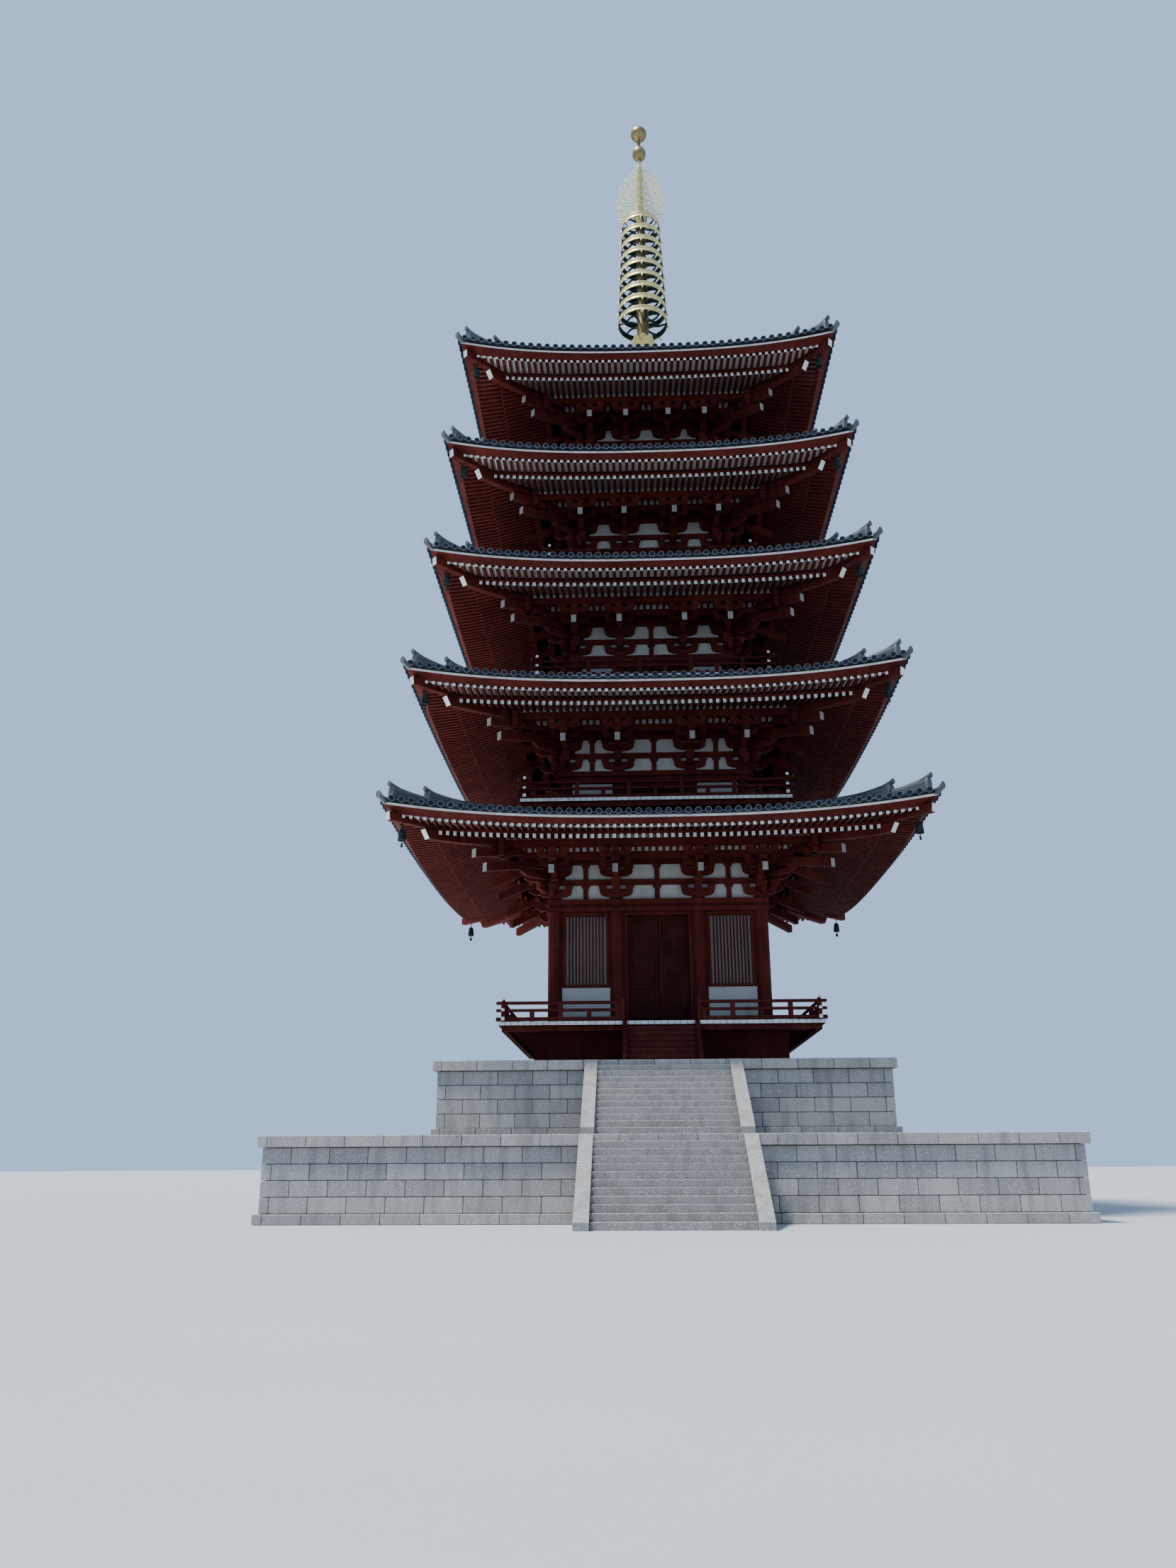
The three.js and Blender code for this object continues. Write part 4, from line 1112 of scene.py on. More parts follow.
for storey in storeys:
    body, tip, eave = storey.body, storey.tip, storey.eave
    step = eave - BASE_INSET[storey.number - 1]
    inner = body - WALL_THICKNESS / 2

    def base_foot(r):
        return r, storey.rafter_underside(r)

    def flying_foot(r):
        return r, tip - FLYING_RAFTER["tall"] / 2 + (eave - r) * FLYING_SLOPE

    timber, white = [], []
    for plan, foot, start, last in (
        (BASE_RAFTER, base_foot, inner, step), (FLYING_RAFTER, flying_foot, eave - FLYING_LENGTH, eave),
    ):
        length = rafter([foot(r) for r in spread(start, last - END_CAP, plan["parts"])], plan)
        tip_end = rafter([foot(r) for r in (last - END_CAP, last)], plan)
        place = storey, plan["count"][storey.number - 1], eave - plan["corner"]
        timber.append(row(length, *place, red_timber, EAVE_LIFT, trim=1.0, seed=plan["seed"]))
        white.append(row(tip_end, *place, white_paint, EAVE_LIFT, seed=plan["seed"] + 2))
    storey.keep(joined(*timber), "rafters", red_timber, "eaves")
    storey.keep(joined(*white), "rafter_ends", white_paint)

    boards, share = Pile(), storey.lift_share
    for plan, foot, start, last in (
        (BASE_RAFTER, base_foot, inner, step),
        (FLYING_RAFTER, flying_foot, step - SOFFIT["lap"], eave - SOFFIT["short"]),
    ):
        under = [(r, foot(r)[1] + plan["tall"], share(r)) for r in spread(start, last, plan["parts"])]
        lifted_ring(boards, under + [(r, z + SOFFIT["thick"], lift) for r, z, lift in reversed(under)])
    storey.keep(boards, "soffit_boards", soffit)

    beams = Pile()
    a, b = step - RAFTER_BEAM["back"], step + RAFTER_BEAM["front"]
    low = storey.rafter_underside(step) + BASE_RAFTER["tall"]
    high = low + RAFTER_BEAM["depth"]
    lifted_ring(beams, [(a, low, share(a)), (b, low, share(b)), (b, high, share(b)), (a, high, share(a))])
    lifted_ring(beams, [(eave + r, tip + z, *shares) for r, z, *shares in TIP_BOARD])
    hip, caps = Pile(), Pile()
    for plan in HIP_RAFTERS:
        last, half, lean = eave + plan["past"][storey.number - 1], plan["wide"] / 2, plan["lean"] / 2
        loops = []
        for r in spread(body, last, 6):
            z = tip + plan["rise"] + (last - r) * plan["slope"] - EAVE_LIFT * (share(last) - share(r))
            low, high, out = z - plan["tall"] / 2, z + plan["tall"] / 2, r * sqrt(2)
            loops.append([
                (-half, -out + lean, low), (half, -out + lean, low),
                (half, -out - lean, high), (-half, -out - lean, high),
            ])
        hip.loft(loops)
        caps.loft([[(x, y - out, z) for x, y, z in loops[-1]] for out in (0.0, END_CAP)])
    beams.join(hip.four_sides(pi / 4))
    storey.keep(beams, "eave_beams", red_timber)
    white = caps.four_sides(pi / 4)
    lifted_ring(white, [(eave + r, tip + z, *shares) for r, z, *shares in WHITE_BAND])
    storey.keep(white, "white_band", white_paint)


# Roofs: dark glazed tiles in straight rows up the slope, a half-round cover tile over each joint
# between hollow pan tiles. The lowest cover tile of a row ends in a round disc.
TILE_EDGE = {"reach": 0.4, "top": 0.5}
TILE_PITCH_IN_RAFTERS = 1.31
COVER_RADIUS = 0.1
COURSE = 0.37
TILE_DROP = 0.1
ROOF_LIFT = 0.6
LIFT_FADE = 1.6
FLARE_FADE = 3
DISC = {"radius": 0.114, "rise": -0.075, "set_back": 0.06, "sides": 12}
EDGE_SET_BACK = 0.12
BED = {"drop": 0.03, "thick": 0.16, "reach": 0.19}


def tile_finish(name, dark, pale, gloss=0.5):
    """Fired grey roof tile: blue-grey with a dull sheen, uneven from tile to tile, pale lichen and dust."""
    finish = Finish(name, "tile", roughness=0.45)
    finish.shader.inputs["Specular IOR Level"].default_value = gloss
    base = finish.patches(finish.tone(dark, pale), shade(pale, 1.7), 0.35, 0.5, 0.8, 0.4)
    finish.colour(finish.patches(base, (0.26, 0.27, 0.25), 0.02, 0.62, 0.72, 0.4))
    finish.roughness(0.06, 0.32, 0.62)
    return finish.bump(0.012, 0.001)


def slope_tree():
    """Tiles on the four slopes: a grid of like tiles, bent to the hollow slope and trimmed at the hips."""
    tree = Tree(
        "tiled_slopes", Item="Object", Columns="Int", Courses="Int", Pitch="Float", Step="Float",
        Outer="Float", Inner="Float", Low="Float", High="Float", Bow="Float", Lift="Float", Flare="Float",
        Seed="Int", Finish="Material",
    )
    columns, courses = tree.field("Columns"), tree.field("Courses")
    pitch, step = tree.field("Pitch"), tree.field("Step")
    outer, inner = tree.field("Outer"), tree.field("Inner")
    grid = tree.node(
        "GeometryNodeMeshGrid",
        Size_X=pitch * (columns - 1), Size_Y=step * (courses - 1), Vertices_X=columns, Vertices_Y=courses,
    )[0]
    x, y, z = tree.position()
    points = tree.moved(grid, x, y - outer + step * (courses - 1) / 2, 0.0)
    x, y, z = tree.position()
    on_slope = abs(x).sum("LESS_THAN", abs(x), y * -1 + pitch * 0.5)
    tiles = tree.copies(points, tree.item(), selection=on_slope)
    x, y, z = tree.position()
    r = (y * -1).most(inner)
    share = (outer - r) / (outer - inner)
    sag = tree.field("Bow") * share.sum("SINE", share * pi)
    along = x.least(r).most(r * -1)
    bend = (abs(along) / r) ** LIFT_CURVE
    rise = tree.field("Lift") * (1 - share).most(0.0) ** LIFT_FADE * bend
    height = tree.field("Low") + (tree.field("High") - tree.field("Low")) * share - sag + rise
    out = r + tree.field("Flare") * (1 - share).most(0.0) ** FLARE_FADE * bend
    tiles = tree.moved(tiles, along, out * -1, z + height)
    return tree.end(tree.all_round(tiles))


class Slope:
    """The hollow surface of one roof, in metres of the real tower."""

    def __init__(self, storey):
        top = storey.number == 5
        above = None if top else storeys[storey.number]
        self.outer = storey.eave + TILE_EDGE["reach"]
        self.low = storey.tip + TILE_EDGE["top"]
        self.inner = 0.5 if top else above.body + WAIST["reach"] + SEAT
        self.high = real_box("dew_basin")[0].z - SEAT if top else above.deck - 0.45
        self.bow = 0.45 if top else 0.1
        self.limit = inf if top else above.deck - 0.16

    def height(self, r, along=0.0):
        share = (self.outer - r) / (self.outer - self.inner)
        rise = ROOF_LIFT * max(0.0, 1 - share) ** LIFT_FADE * abs(along) ** LIFT_CURVE
        return self.low + (self.high - self.low) * share - self.bow * sin(pi * share) + rise

    def hip_height(self, r):
        """Height of the hip line, which stands out from the straight slope by the flare."""
        share = (r - self.inner) / (self.outer + EAVE_FLARE - self.inner)
        return self.height(r - EAVE_FLARE * max(0.0, share) ** FLARE_FADE, 1.0)


def cover_tile():
    """A half-round tile, wider at its lower end, which laps the tile below."""
    points = []
    for r, radius in ((0.0, COVER_RADIUS), (COURSE + 0.02, COVER_RADIUS * 0.88)):
        points += [(radius * cos(a), r, radius * sin(a) - TILE_DROP + 0.03) for a in spread(0, pi, 5)]
    faces = [(i, i + 1, 6 + i + 1, 6 + i) for i in range(5)] + [(5, 4, 3, 2, 1, 0)]
    return Pile().add(points, faces)


def pan_tile(pitch):
    """A shallow hollow tile between two rows of cover tiles, with a visible front edge."""
    points = []
    for r, rise in ((0.0, 0.045), (COURSE + 0.03, 0.012), (0.0, 0.015)):
        for x, dip in zip(spread(-pitch / 2, pitch / 2, 3), (0.0, -0.035, -0.035, 0.0)):
            points.append((x, r, dip - TILE_DROP + rise))
    faces = []
    for i in range(3):
        faces += [(i, i + 1, 4 + i + 1, 4 + i), (8 + i, 8 + i + 1, i + 1, i)]
    return Pile().add(points, faces)


def disc(stations, around=False):
    """A round piece that looks outwards. A station is [radius, distance in front]."""
    turns = circle(DISC["sides"])
    loops = [[(radius * c, -out, radius * s) for c, s in turns] for radius, out in stations]
    return Pile().loft(loops, around=around)


def eave_pan(pitch):
    """The front plate of the lowest pan tile, a hollow crescent between two discs."""
    edge = list(zip(spread(-pitch / 2, pitch / 2, 4), (0.015, -0.02, -0.035, -0.02, 0.015)))
    outline = edge + [(x, z - 0.065) for x, z in reversed(edge)]
    return Pile().loft([[(x, -out, z) for x, z in outline] for out in (-0.09, -0.005)])


# The bed under the tiles, nearly black and dull: painted shade for the underside of the tile edge.
shaded_bed_clay = tile_finish("shaded_bed_clay", (0.012, 0.014, 0.017), (0.016, 0.018, 0.022), 0.1)
tile = tile_finish("roof_tile", (0.045, 0.055, 0.075), (0.095, 0.11, 0.135))
ridge_tile = tile_finish("ridge_tile", (0.10, 0.11, 0.12), (0.17, 0.18, 0.19))
# A near-black copy of the roof tile for the discs and pan plates along the eaves: painted shade.
shaded_edge_tile = tile_finish("shaded_edge_tile", (0.013, 0.019, 0.034), (0.026, 0.035, 0.055), 0.15)
# A paler copy of the roof tile for the disc rims: a painted highlight where the sun grazes them.
sunlit_rim_tile = tile_finish("sunlit_rim_tile", (0.10, 0.12, 0.125), (0.155, 0.175, 0.175))
tiled_slopes = slope_tree()
slopes = {}
for storey in storeys:
    slope = Slope(storey)
    slopes[storey.number] = slope
    outer, inner = slope.outer, slope.inner
    pitch = storey.pitch * TILE_PITCH_IN_RAFTERS
    half_rows = int(outer / pitch - 0.5)
    columns, half = 2 * half_rows + 1, half_rows * pitch
    sizes = {
        "Courses": int((outer - inner) / COURSE) + 1, "Pitch": pitch, "Step": COURSE,
        "Outer": outer - DISC["set_back"], "Inner": inner, "Low": slope.low, "High": slope.high,
        "Bow": slope.bow, "Lift": ROOF_LIFT, "Flare": EAVE_FLARE,
    }
    covers = laid(tiled_slopes, cover_tile(), tile, Columns=columns, Seed=21, **sizes)
    pans = laid(tiled_slopes, pan_tile(pitch), tile, Columns=columns + 1, Seed=22, **sizes)
    upper = []
    for r in spread(outer, inner, 12):
        share = max(0.0, (r - inner) / (outer - inner))
        lift = ROOF_LIFT / EAVE_LIFT * share ** LIFT_FADE
        z = slope.height(r) - TILE_DROP - BED["drop"]
        upper.append((min(r, outer - EDGE_SET_BACK), z, lift, share ** FLARE_FADE))
    lower = [(r, z - BED["thick"], *shares) for r, z, *shares in reversed(upper[1:])]
    bearing = storey.tip + BAND_HIGH + SEAT
    foot = [(storey.eave, bearing, 1.12), (storey.eave + BED["reach"], bearing, 1.14, 1)]
    bed = lifted_ring(Pile(), upper + lower + foot)
    if storey.number == 5:
        peak = inner + 0.3
        bed.box((-peak, -peak, slope.high - 0.35), (peak, peak, slope.high))
    edge = [Matrix.Translation((0, -outer + DISC["set_back"], slope.low + DISC["rise"]))]
    bend, radius = (ROOF_LIFT, EAVE_FLARE), DISC["radius"]
    rims = disc(((radius, 0.005), (radius, 0.03), (radius * 0.83, 0.03)), around=True).copies(edge)
    discs = disc(((radius * 0.98, -0.2), (radius * 0.98, 0.018))).copies(edge)
    plates = eave_pan(pitch).copies(edge)
    rims = row(rims, storey, columns, half, sunlit_rim_tile, *bend, seed=25)
    discs = row(discs, storey, columns, half, shaded_edge_tile, *bend, seed=23)
    plates = row(plates, storey, columns - 1, half - pitch / 2, shaded_edge_tile, *bend, seed=24)
    # The disc rims carry the painted highlight of the paler tile.
    storey.keep(rims, "disc_rims", sunlit_rim_tile)
    storey.keep(joined(covers, pans), "roof_tiles", tile, "roof")
    # The eave discs and plates carry the painted shade of the darker tile.
    storey.keep(joined(discs, plates), "eave_tiles", shaded_edge_tile)
    # The tile bed carries painted shade under the tile edge.
    storey.keep(bed, "tile_bed", shaded_bed_clay)


# Ridges: over each hip a stack of flat ridge tiles under a round cap, in two lengths. Each ends in an
# upright end tile, with a round tile that juts out and up over it.
RIDGE_LAYERS = 5
RIDGE_STACK = 0.72
RIDGE_SINK = 0.12
RIDGE_CURL_LENGTH = 1.3
MAIN_RIDGE = {"end": -0.92, "wide": 0.34, "tall": 0.5, "curl": 0.2}
LOW_RIDGE = {"end": 0.14, "wide": 0.28, "tall": 0.4, "curl": 0.2}
CORNER_TILE = {"start": 0.16, "low": 0.8, "end": 0.53, "high": 1.13, "radius": 0.115}


def ridge_section(wide, tall):
    """Half width and height of the stacked tiles, layer by layer, then the round cap."""
    half, stack = [], tall * RIDGE_STACK
    for layer in range(RIDGE_LAYERS):
        z, top = stack * layer / RIDGE_LAYERS, stack * (layer + 1) / RIDGE_LAYERS
        reach = wide / 2 * (1 - 0.05 * layer)
        half += [(reach, z), (reach, top - 0.015), (reach - 0.025, top - 0.015), (reach - 0.025, top)]
    half += [(wide * 0.3 * cos(a), stack + (tall - stack) * sin(a)) for a in spread(0, pi / 2, 4)]
    return half + [(-x, z) for x, z in reversed(half[:-1])]


def ridge_run(pile, slope, start, end, plan):
    """A ridge from one distance to another along the hip. It grows taller towards its lower end."""
    tall, curl = plan["tall"], plan["curl"]
    section = ridge_section(plan["wide"], tall)
    loops = []
    for share in spread(0, 1, 12):
        r = end + (start - end) * share ** 1.5
        foot = slope.hip_height(r) - RIDGE_SINK
        grow = 1 + curl / tall * max(0.0, 1 - (end - r) / RIDGE_CURL_LENGTH) ** 1.8
        loops.append([(dx, -r * sqrt(2), min(foot + dz * grow, slope.limit)) for dx, dz in section])
    pile.loft(loops)


def round_tile(start, end, low, high, radius):
    """A round tile that looks outwards, with a thicker rim at its end."""
    loops = []
    for share, grow in (
        (0.0, 0.92), (0.5, 1.0), (0.9, 1.0), (0.905, 1.14), (1.0, 1.14), (1.0, 0.86), (0.985, 0.84),
    ):
        reach, z, size = start + (end - start) * share, low + (high - low) * share ** 1.3, radius * grow
        loops.append([(size * c, -reach, z + size * s) for c, s in circle(12)])
    return Pile().loft(loops)


def ridge_end(pile, r, foot, plan):
    """The end tile, a plate with rounded shoulders, and the round tile that looks out over it."""
    out, half, tall = r * sqrt(2), plan["wide"] * 0.56, plan["tall"] + plan["curl"]
    outline = [(-half, foot - 0.04), (half, foot - 0.04), (half * 0.92, foot + tall * 0.62)]
    for a in (0.35, 0.9, pi / 2, 2.24, 2.79):
        outline.append((half * 0.85 * cos(a), foot + tall * 0.7 + tall * 0.2 * sin(a)))
    outline.append((-half * 0.92, foot + tall * 0.62))
    pile.board(outline, out - 0.05, out + 0.045)
    top = foot + tall
    pile.join(round_tile(out - 0.3, out + 0.13, top - 0.13, top + 0.005, 0.088))


for storey in storeys:
    slope, ridges = slopes[storey.number], Pile()
    start = slope.inner + 0.02
    for plan in (MAIN_RIDGE, LOW_RIDGE):
        end = storey.eave + plan["end"]
        ridge_run(ridges, slope, start, end, plan)
        ridge_end(ridges, end, slope.hip_height(end) - RIDGE_SINK, plan)
        start = end - 0.1
    reaches = [(storey.eave + CORNER_TILE[name]) * sqrt(2) for name in ("start", "end")]
    heights = [storey.tip + CORNER_TILE[name] for name in ("low", "high")]
    ridges.join(round_tile(*reaches, *heights, CORNER_TILE["radius"]))
    storey.keep(ridges.four_sides(pi / 4), "hip_ridges", ridge_tile)


# Wind bells: a cast bronze bell on a hook under each eave corner, with a clapper plate below it.
BELL = {"inset": 0.22, "drop": 0.15, "radius": 0.145, "tall": 0.42}


def bronze_finish():
    """Weathered bronze: nearly black, with green on the parts that the rain reaches."""
    finish = Finish("bronze", "bronze", roughness=0.5, metallic=0.6)
    finish.colour(finish.patches((0.022, 0.025, 0.022), (0.045, 0.085, 0.075), 0.06, 0.42, 0.62))
    finish.roughness(0.03, 0.4, 0.75)
    return finish.bump(0.01, 0.001)


bronze = bronze_finish()
for storey in storeys:
    radius, tall = BELL["radius"], BELL["tall"]
    r, z = (storey.eave - BELL["inset"]) * sqrt(2), storey.tip - BELL["drop"] - tall / 2
    bell, at = Pile(), (0, -r, z)
    bell.turned([
        (0, 0.03), (radius * 0.84, 0.03), (radius * 0.9, 0.0), (radius, 0.0), (radius * 0.96, 0.1),
        (radius * 0.82, tall * 0.7), (radius * 0.7, tall * 0.9), (radius * 0.3, tall), (0, tall),
    ], 14, at)
    for wire, low, high in ((0.018, tall - 0.02, tall + 0.42), (0.012, -0.12, 0.05)):
        bell.turned([(0, low), (wire, low), (wire, high), (0, high)], 6, at)
    bell.box((-0.06, -r - 0.006, z - 0.24), (0.06, -r + 0.006, z - 0.1))
    storey.keep(bell.four_sides(pi / 4), "wind_bells", bronze)


# Spire: gilt bronze on the roof's peak. A square basin, an inverted bowl and open petals carry a mast
# with nine flat rings on curved spokes, four openwork flames, and two balls at the very top.
SPIRE = {
    "rings": 9, "low_ring": 40.91, "high_ring": 46.74, "low_radius": 1.2, "high_radius": 0.95,
    "flame_low": 47.4, "flame_high": 50.5, "mast_top": 50.95,
    "low_ball": 51.47, "high_ball": 52.76,
}
RING_DEPTH = 0.29
STEPS_ROUND = 48
PEGS = 8
MAST = {"radius": 0.29, "waist": 0.15, "head": 0.75}
SPOKE = {"wide": 0.035, "thick": 0.08, "bend": 0.16, "from": 0.2}
RING_BELL = {"radius": 0.045, "tall": 0.11, "drop": 0.08}


def gilt_finish(name, dark, pale, metallic):
    """Old gilding on bronze: pale gold where it holds, brown and green-grey where it has worn thin."""
    finish = Finish(name, "gilt", roughness=0.45, metallic=metallic)
    base = finish.blend(finish.noise(0.25), dark, pale)
    base = finish.patches(base, shade(dark, 0.5), 0.07, 0.5, 0.72, 0.7, (1, 1, 0.5))
    finish.colour(finish.patches(base, (0.16, 0.20, 0.15), 0.16, 0.6, 0.75, 0.45))
    finish.roughness(0.05, 0.28, 0.6)
    return finish.bump(0.015, 0.0015)


def ring_tree():
    """The same item round the mast at every ring. Its distance from the mast grows less upwards."""
    tree = Tree(
        "rings_up_the_mast", Item="Object", Around="Int", Levels="Int", Low="Float", Rise="Float",
        Taper="Float", Seed="Int", Finish="Material",
    )
    levels, rise = tree.field("Levels"), tree.field("Rise")
    round_mast = tree.all_round(tree.item(), tree.field("Around"))
    line = tree.node("GeometryNodeMeshLine", Count=levels, Offset=tree.vector(z=rise / (levels - 1)))[0]
    stack = tree.copies(line, round_mast)
    x, y, z = tree.position()
    shrink = 1 - tree.field("Taper") * z / rise
    return tree.end(tree.moved(stack, x * shrink, y * shrink, z + tree.field("Low")))


gilt = gilt_finish("gilt", (0.60, 0.51, 0.21), (0.80, 0.71, 0.36), 0.35)
pale_gilt = gilt_finish("pale_gilt", (0.74, 0.66, 0.36), (0.88, 0.80, 0.52), 0.35)
# A dark brown copy of the gilt for the lower mast and its collars, which the rings shade: painted shade.
shaded_gilt = gilt_finish("shaded_gilt", (0.17, 0.13, 0.055), (0.32, 0.26, 0.12), 0.55)
# A darker, more metallic copy of the gilt for the finial balls: painted shade and reflection for their dark
# lower sides.
shaded_ball_gilt = gilt_finish("shaded_ball_gilt", (0.20, 0.15, 0.06), (0.48, 0.40, 0.22), 0.75)
rings = ring_tree()
ring_sizes = {
    "Levels": SPIRE["rings"], "Low": SPIRE["low_ring"], "Rise": SPIRE["high_ring"] - SPIRE["low_ring"],
    "Taper": 1 - SPIRE["high_radius"] / SPIRE["low_radius"],
}
radius, half = SPIRE["low_radius"], RING_DEPTH / 2
band_profile = [
    (radius - 0.02, -half), (radius, -half), (radius + 0.012, -half + 0.03), (radius, -half + 0.05),
    (radius, half - 0.05), (radius + 0.012, half - 0.03), (radius, half), (radius - 0.02, half),
]
# A thin dark bronze lining just inside each band: painted shade on the inner faces of the rings.
low, high = -half + 0.004, half - 0.004
shade_liner_profile = [(radius - 0.05, low), (radius - 0.02, low), (radius - 0.02, high), (radius - 0.05, high)]


def ring_part(profile, finish, seed):
    """A band all round every ring, from one short stretch of it."""
    arc = pi / STEPS_ROUND
    loops = [[(r * sin(a), -r * cos(a), z) for r, z in profile] for a in (-arc, arc)]
    stretch = Pile().loft(loops, ends=False)
    return laid(rings, stretch, finish, Around=STEPS_ROUND, Seed=seed, **ring_sizes)


band = ring_part(band_profile, gilt, 31)
shade_liner = ring_part(shade_liner_profile, bronze, 34)


def bar_along(points, radius, sides=6):
    """A round bar along a line of points."""
    loops = []
    for i, point in enumerate(points):
        ahead = (Vector(points[min(i + 1, len(points) - 1)]) - Vector(points[max(i - 1, 0)])).normalized()
        across = ahead.orthogonal().normalized()
        other = ahead.cross(across)
        loops.append([Vector(point) + radius * (across * c + other * s) for c, s in circle(sides)])
    return Pile().loft(loops)


loops = []
for share in spread(0, 1, 8):
    r = SPOKE["from"] + (radius - 0.03 - SPOKE["from"]) * share
    x, wide = SPOKE["bend"] * sin(pi * share), SPOKE["wide"] * (0.5 + 0.5 * sin(pi * share))
    z, thick = -half * 0.6, SPOKE["thick"]
    loops.append([(x - wide, -r, z), (x + wide, -r, z), (x + wide, -r, z + thick), (x - wide, -r, z + thick)])
spokes = laid(rings, Pile().loft(loops), bronze, Around=PEGS, Seed=32, **ring_sizes)


def small_bell(x, r, top):
    """A little bell of gilt bronze that hangs from a wire."""
    wide, tall, low = RING_BELL["radius"], RING_BELL["tall"], -RING_BELL["drop"] - RING_BELL["tall"]
    outline = [
        (0, low), (wide, low), (wide * 0.9, low + tall * 0.5), (wide * 0.55, low + tall * 0.85),
        (0.012, low + tall), (0.012, 0.0), (0, 0.0),
    ]
    return Pile().turned(outline, 8, (x, -r, top))


peg = small_bell(0, radius + 0.02, -half + 0.06)
pegs = laid(rings, peg, gilt, Around=PEGS, Seed=33, **ring_sizes)
mast_low, flame_low, mast_top = real_box("mast_and_rings")[0].z, SPIRE["flame_low"], SPIRE["mast_top"]
mast_head, foot, waist = flame_low - MAST["head"], MAST["radius"], MAST["waist"]
mast = Pile().turned([
    (0, mast_low), (foot, mast_low), (foot, 41.6), (0.22, 41.75), (0.2, 42.4),
    (waist, mast_head), (0, mast_head),
], 20)
upper_mast = Pile().turned([
    (0, mast_head), (waist, mast_head), (0.2, mast_head + 0.3), (0.3, flame_low - 0.2),
    (0.3, flame_low - 0.08), (0.17, flame_low), (0.14, flame_low + 1.0), (0.09, mast_top), (0, mast_top),
], 20)
collar = Pile().turned([(0, -0.09), (0.25, -0.09), (0.27, 0.0), (0.25, 0.09), (0, 0.09)], 16)
levels = spread(SPIRE["low_ring"], SPIRE["high_ring"], SPIRE["rings"] - 1)
mast.join(collar.copies([Matrix.Translation((0, 0, z)) for z in levels]))
stays = Pile()
for c, s in circle(16)[1::2]:
    foot = Vector((0.2 * c, 0.2 * s, SPIRE["high_ring"] - 0.75))
    head = Vector((0.88 * c, 0.88 * s, SPIRE["high_ring"] + 0.08))
    stays.join(bar_along([foot, (foot + head) / 2 + Vector((0, 0, -0.06)), head], 0.022, 5))
keep(joined(band, pegs), "nine_rings", gilt, "mast_and_rings")
# The dark linings carry painted shade; the spokes and stays are plain bronze.
keep(joined(shade_liner, spokes, stays), "ring_linings_spokes", bronze)
# The lower mast takes the dark gilt, which is painted shade; the upper mast, in the sun, takes the bright
# gilt.
keep(mast, "mast", shaded_gilt)
keep(upper_mast, "upper_mast", gilt)

low, high = real_box("dew_basin")
basin, studs, half = Pile(), Pile(), high.x
for inset, a, b in (
    (0.1, low.z, high.z - 0.14), (0.04, low.z, low.z + 0.12), (0, high.z - 0.14, high.z),
    (0.05, high.z - 0.2, high.z - 0.14),
):
    basin.box((inset - half, inset - half, a), (half - inset, half - inset, b), 0.012)
for x in (-0.46, 0, 0.46):
    studs.box((x - 0.18, -half + 0.07, low.z + 0.2), (x + 0.18, -half + 0.1, high.z - 0.28), 0.01)
keep(basin.join(studs.four_sides()), "basin_dressed", gilt, "dew_basin")

low, high = real_box("inverted_bowl")
dome = [(0.72 * cos(a), low.z + 0.7 * sin(a)) for a in spread(0, pi * 0.43, 8)]
bowl = Pile().turned([(0, low.z), *dome, (0, high.z)], 32)
keep(bowl, "bowl_dressed", gilt, "inverted_bowl")

low, high = real_box("lotus_petals")
loops = []
for share in spread(0, 1, 11):
    r, z = 0.2 + 0.42 * share ** 0.8, low.z + (high.z + 0.14 - low.z) * share
    wide = 0.25 * max(0.01, 1 - max(0.0, (share - 0.45) / 0.55) ** 2) ** 0.5
    section = [(-wide, 0.05, 0), (0, 0, -0.02), (wide, 0.05, 0)]
    section += [(wide, 0.09, 0.02), (0, 0.05, 0.02), (-wide, 0.09, 0.02)]
    loops.append([(x, y - r, z + rise) for x, y, rise in section])
petals = Pile().loft(loops).copies([Matrix.Rotation(turn, 4, "Z") for turn in spread(0, 2 * pi, 8)[:-1]])
petals.turned([(0, low.z), (0.24, low.z), (0.3, low.z + 0.2), (0.3, high.z), (0, high.z)], 20)
keep(petals, "petals_dressed", gilt, "lotus_petals")


FLAME_EDGE = [
    (0, 1.17), (0.3, 1.2), (0.5, 1.14), (0.66, 1.04), (0.79, 0.82), (0.86, 0.6), (0.93, 0.36), (1, 0.14),
]
FLAME_NET = {
    "across": 0.165, "up": 0.185, "start": 0.15, "shear": 0.3, "stem": 0.35, "stray": 0.035,
    "half_wide": 0.027, "half_thick": 0.016, "pieces": 5, "bend": 0.75,
}
FLAME_TURN = radians(-9)
FLAME_BELL_OUT = 0.98


def flame_half_width(share):
    """How far a flame panel reaches from the mast, from its foot to its tip."""
    for (a, wide_a), (b, wide_b) in zip(FLAME_EDGE, FLAME_EDGE[1:]):
        if share <= b:
            return wide_a + (wide_b - wide_a) * (share - a) / (b - a)
    return FLAME_EDGE[-1][1]


def flame_knot(column, level):
    """A place in the openwork, a little off a plain net. The rows rise outwards."""
    stray = FLAME_NET["stray"]
    x = FLAME_NET["start"] + FLAME_NET["across"] * column + stray * sin(2.7 * column + 4.1 * level)
    z = FLAME_NET["up"] * level + FLAME_NET["shear"] * x + stray * sin(3.9 * column + 1.7 * level)
    return x, SPIRE["flame_low"] + z


def height_share(z):
    return (z - SPIRE["flame_low"]) / (SPIRE["flame_high"] - SPIRE["flame_low"])


def in_flame(x, z):
    share = height_share(z)
    return 0 <= share <= 1 and 0.1 <= x <= flame_half_width(share)


def tip_of(x, z):
    """Where a free end of the flame points: outwards low down, and upright near the top."""
    angle = radians(38 + 50 * height_share(z))
    reaches = (0.1, angle), (0.2, angle + 0.35)
    return [(x + reach * cos(turn), z + reach * sin(turn)) for reach, turn in reaches]


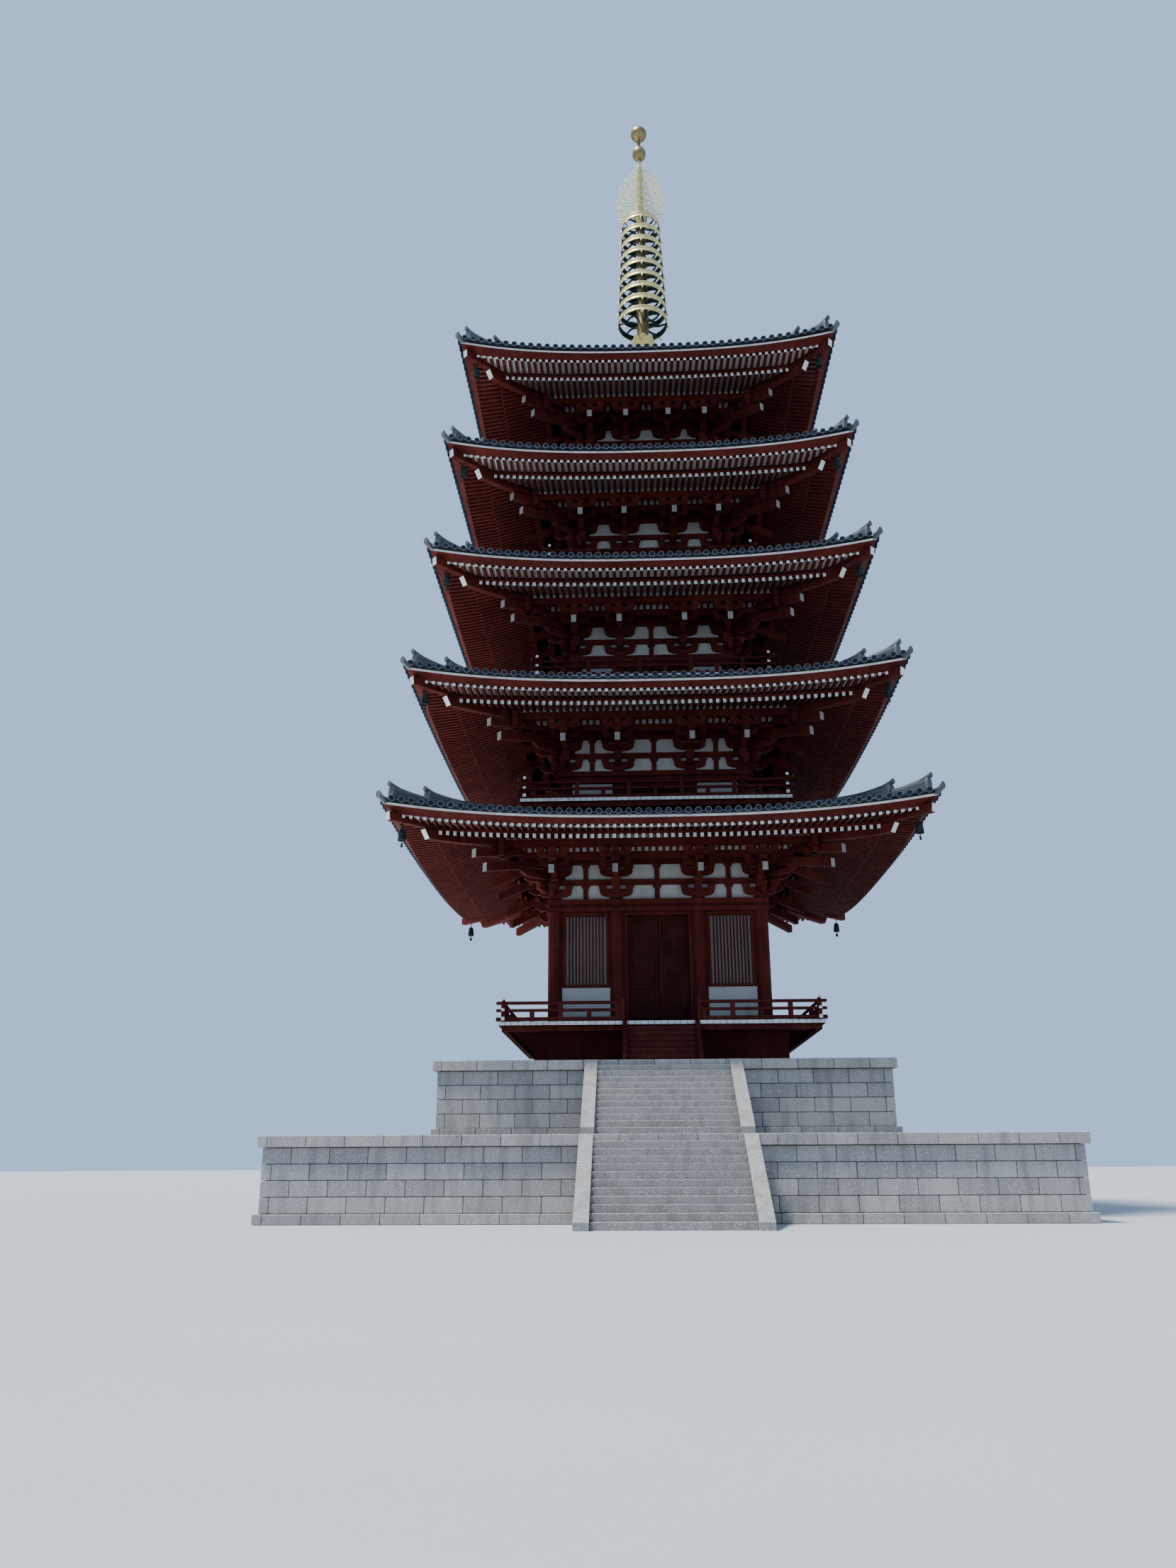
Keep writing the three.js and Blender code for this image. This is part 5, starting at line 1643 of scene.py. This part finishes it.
def strand(pile, start, by_way_of, end):
    """A flat curved bar between two knots. Where it would leave the flame it turns into a free tip."""
    if not in_flame(*start):
        return
    free = not in_flame(*end)
    if free:
        by_way_of, end = tip_of(*start)
    pieces, thick = FLAME_NET["pieces"], FLAME_NET["half_thick"]
    points = []
    for t in spread(0, 1.0 if free else 1.03, pieces):
        shares = (1 - t) ** 2, 2 * t * (1 - t), t * t
        points.append([
            sum(share * value for share, value in zip(shares, place)) for place in zip(start, by_way_of, end)
        ])
    loops = []
    for i, (x, z) in enumerate(points):
        (ax, az), (bx, bz) = points[max(i - 1, 0)], points[min(i + 1, pieces)]
        length = hypot(bx - ax, bz - az)
        wide = FLAME_NET["half_wide"] * (1 - 0.8 * i / pieces if free else 1)
        nx, nz = -(bz - az) / length * wide, (bx - ax) / length * wide
        corners = (1, -thick), (1, thick), (-1, thick), (-1, -thick)
        loops.append([(x + side * nx, y, z + side * nz) for side, y in corners])
    pile.loft(loops)


panel = Pile()
for column in range(-1, 7):
    for level in range(-2 + column % 2, 18, 2):
        foot, fork = flame_knot(column, level), flame_knot(column, level + FLAME_NET["stem"])
        strand(panel, foot, ((foot[0] + fork[0]) / 2, (foot[1] + fork[1]) / 2), fork)
        for side in (-1, 1):
            end = flame_knot(column + side, level + 1)
            arched = (column + level * 2 + side) % 3
            turn = (fork[0], end[1]) if arched else (end[0], fork[1])
            bend = FLAME_NET["bend"]
            way = [bend * a + (1 - bend) * (b + c) / 2 for a, b, c in zip(turn, fork, end)]
            strand(panel, fork, way, end)
foot = flame_low + 0.02
for line in (
    [(0.11, 0, flame_low), (0.13, 0, (flame_low + SPIRE["flame_high"]) / 2), (0.1, 0, SPIRE["flame_high"])],
    [(0.11, 0, foot), (FLAME_EDGE[0][1], 0, foot)],
):
    panel.join(bar_along(line, 0.026))
panel.join(small_bell(FLAME_BELL_OUT, 0, flame_low))
keep(panel.four_sides(FLAME_TURN), "flames_openwork", pale_gilt, "flames")

balls = Pile()
for radius, tall, middle in ((0.35, 0.42, SPIRE["low_ball"]), (0.41, 0.405, SPIRE["high_ball"])):
    outline = [(radius * cos(a), middle + tall * sin(a)) for a in spread(-pi / 2, pi / 2, 20)]
    outline[0], outline[-1] = (0, middle - tall), (0, middle + tall)
    balls.turned(outline, 32)
balls.turned([(0, mast_top), (0.1, mast_top), (0.13, 51.02), (0.08, 51.1), (0.08, 52.5), (0, 52.5)], 16)
# The balls carry the painted shade of the darker gilt.
keep(balls, "finial_balls_dressed", shaded_ball_gilt, "finial_balls")

# The nodes of the frame that stay as they are get their paint here.
for name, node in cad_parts.items():
    node.data.materials.clear()
    finish = dark_timber if name.endswith("doors_windows") else red_timber
    node.data.materials.append(finish.material)

sizes = {"cad": [list(corner) for corner in cad_box], "visual": [list(corner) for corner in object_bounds()]}
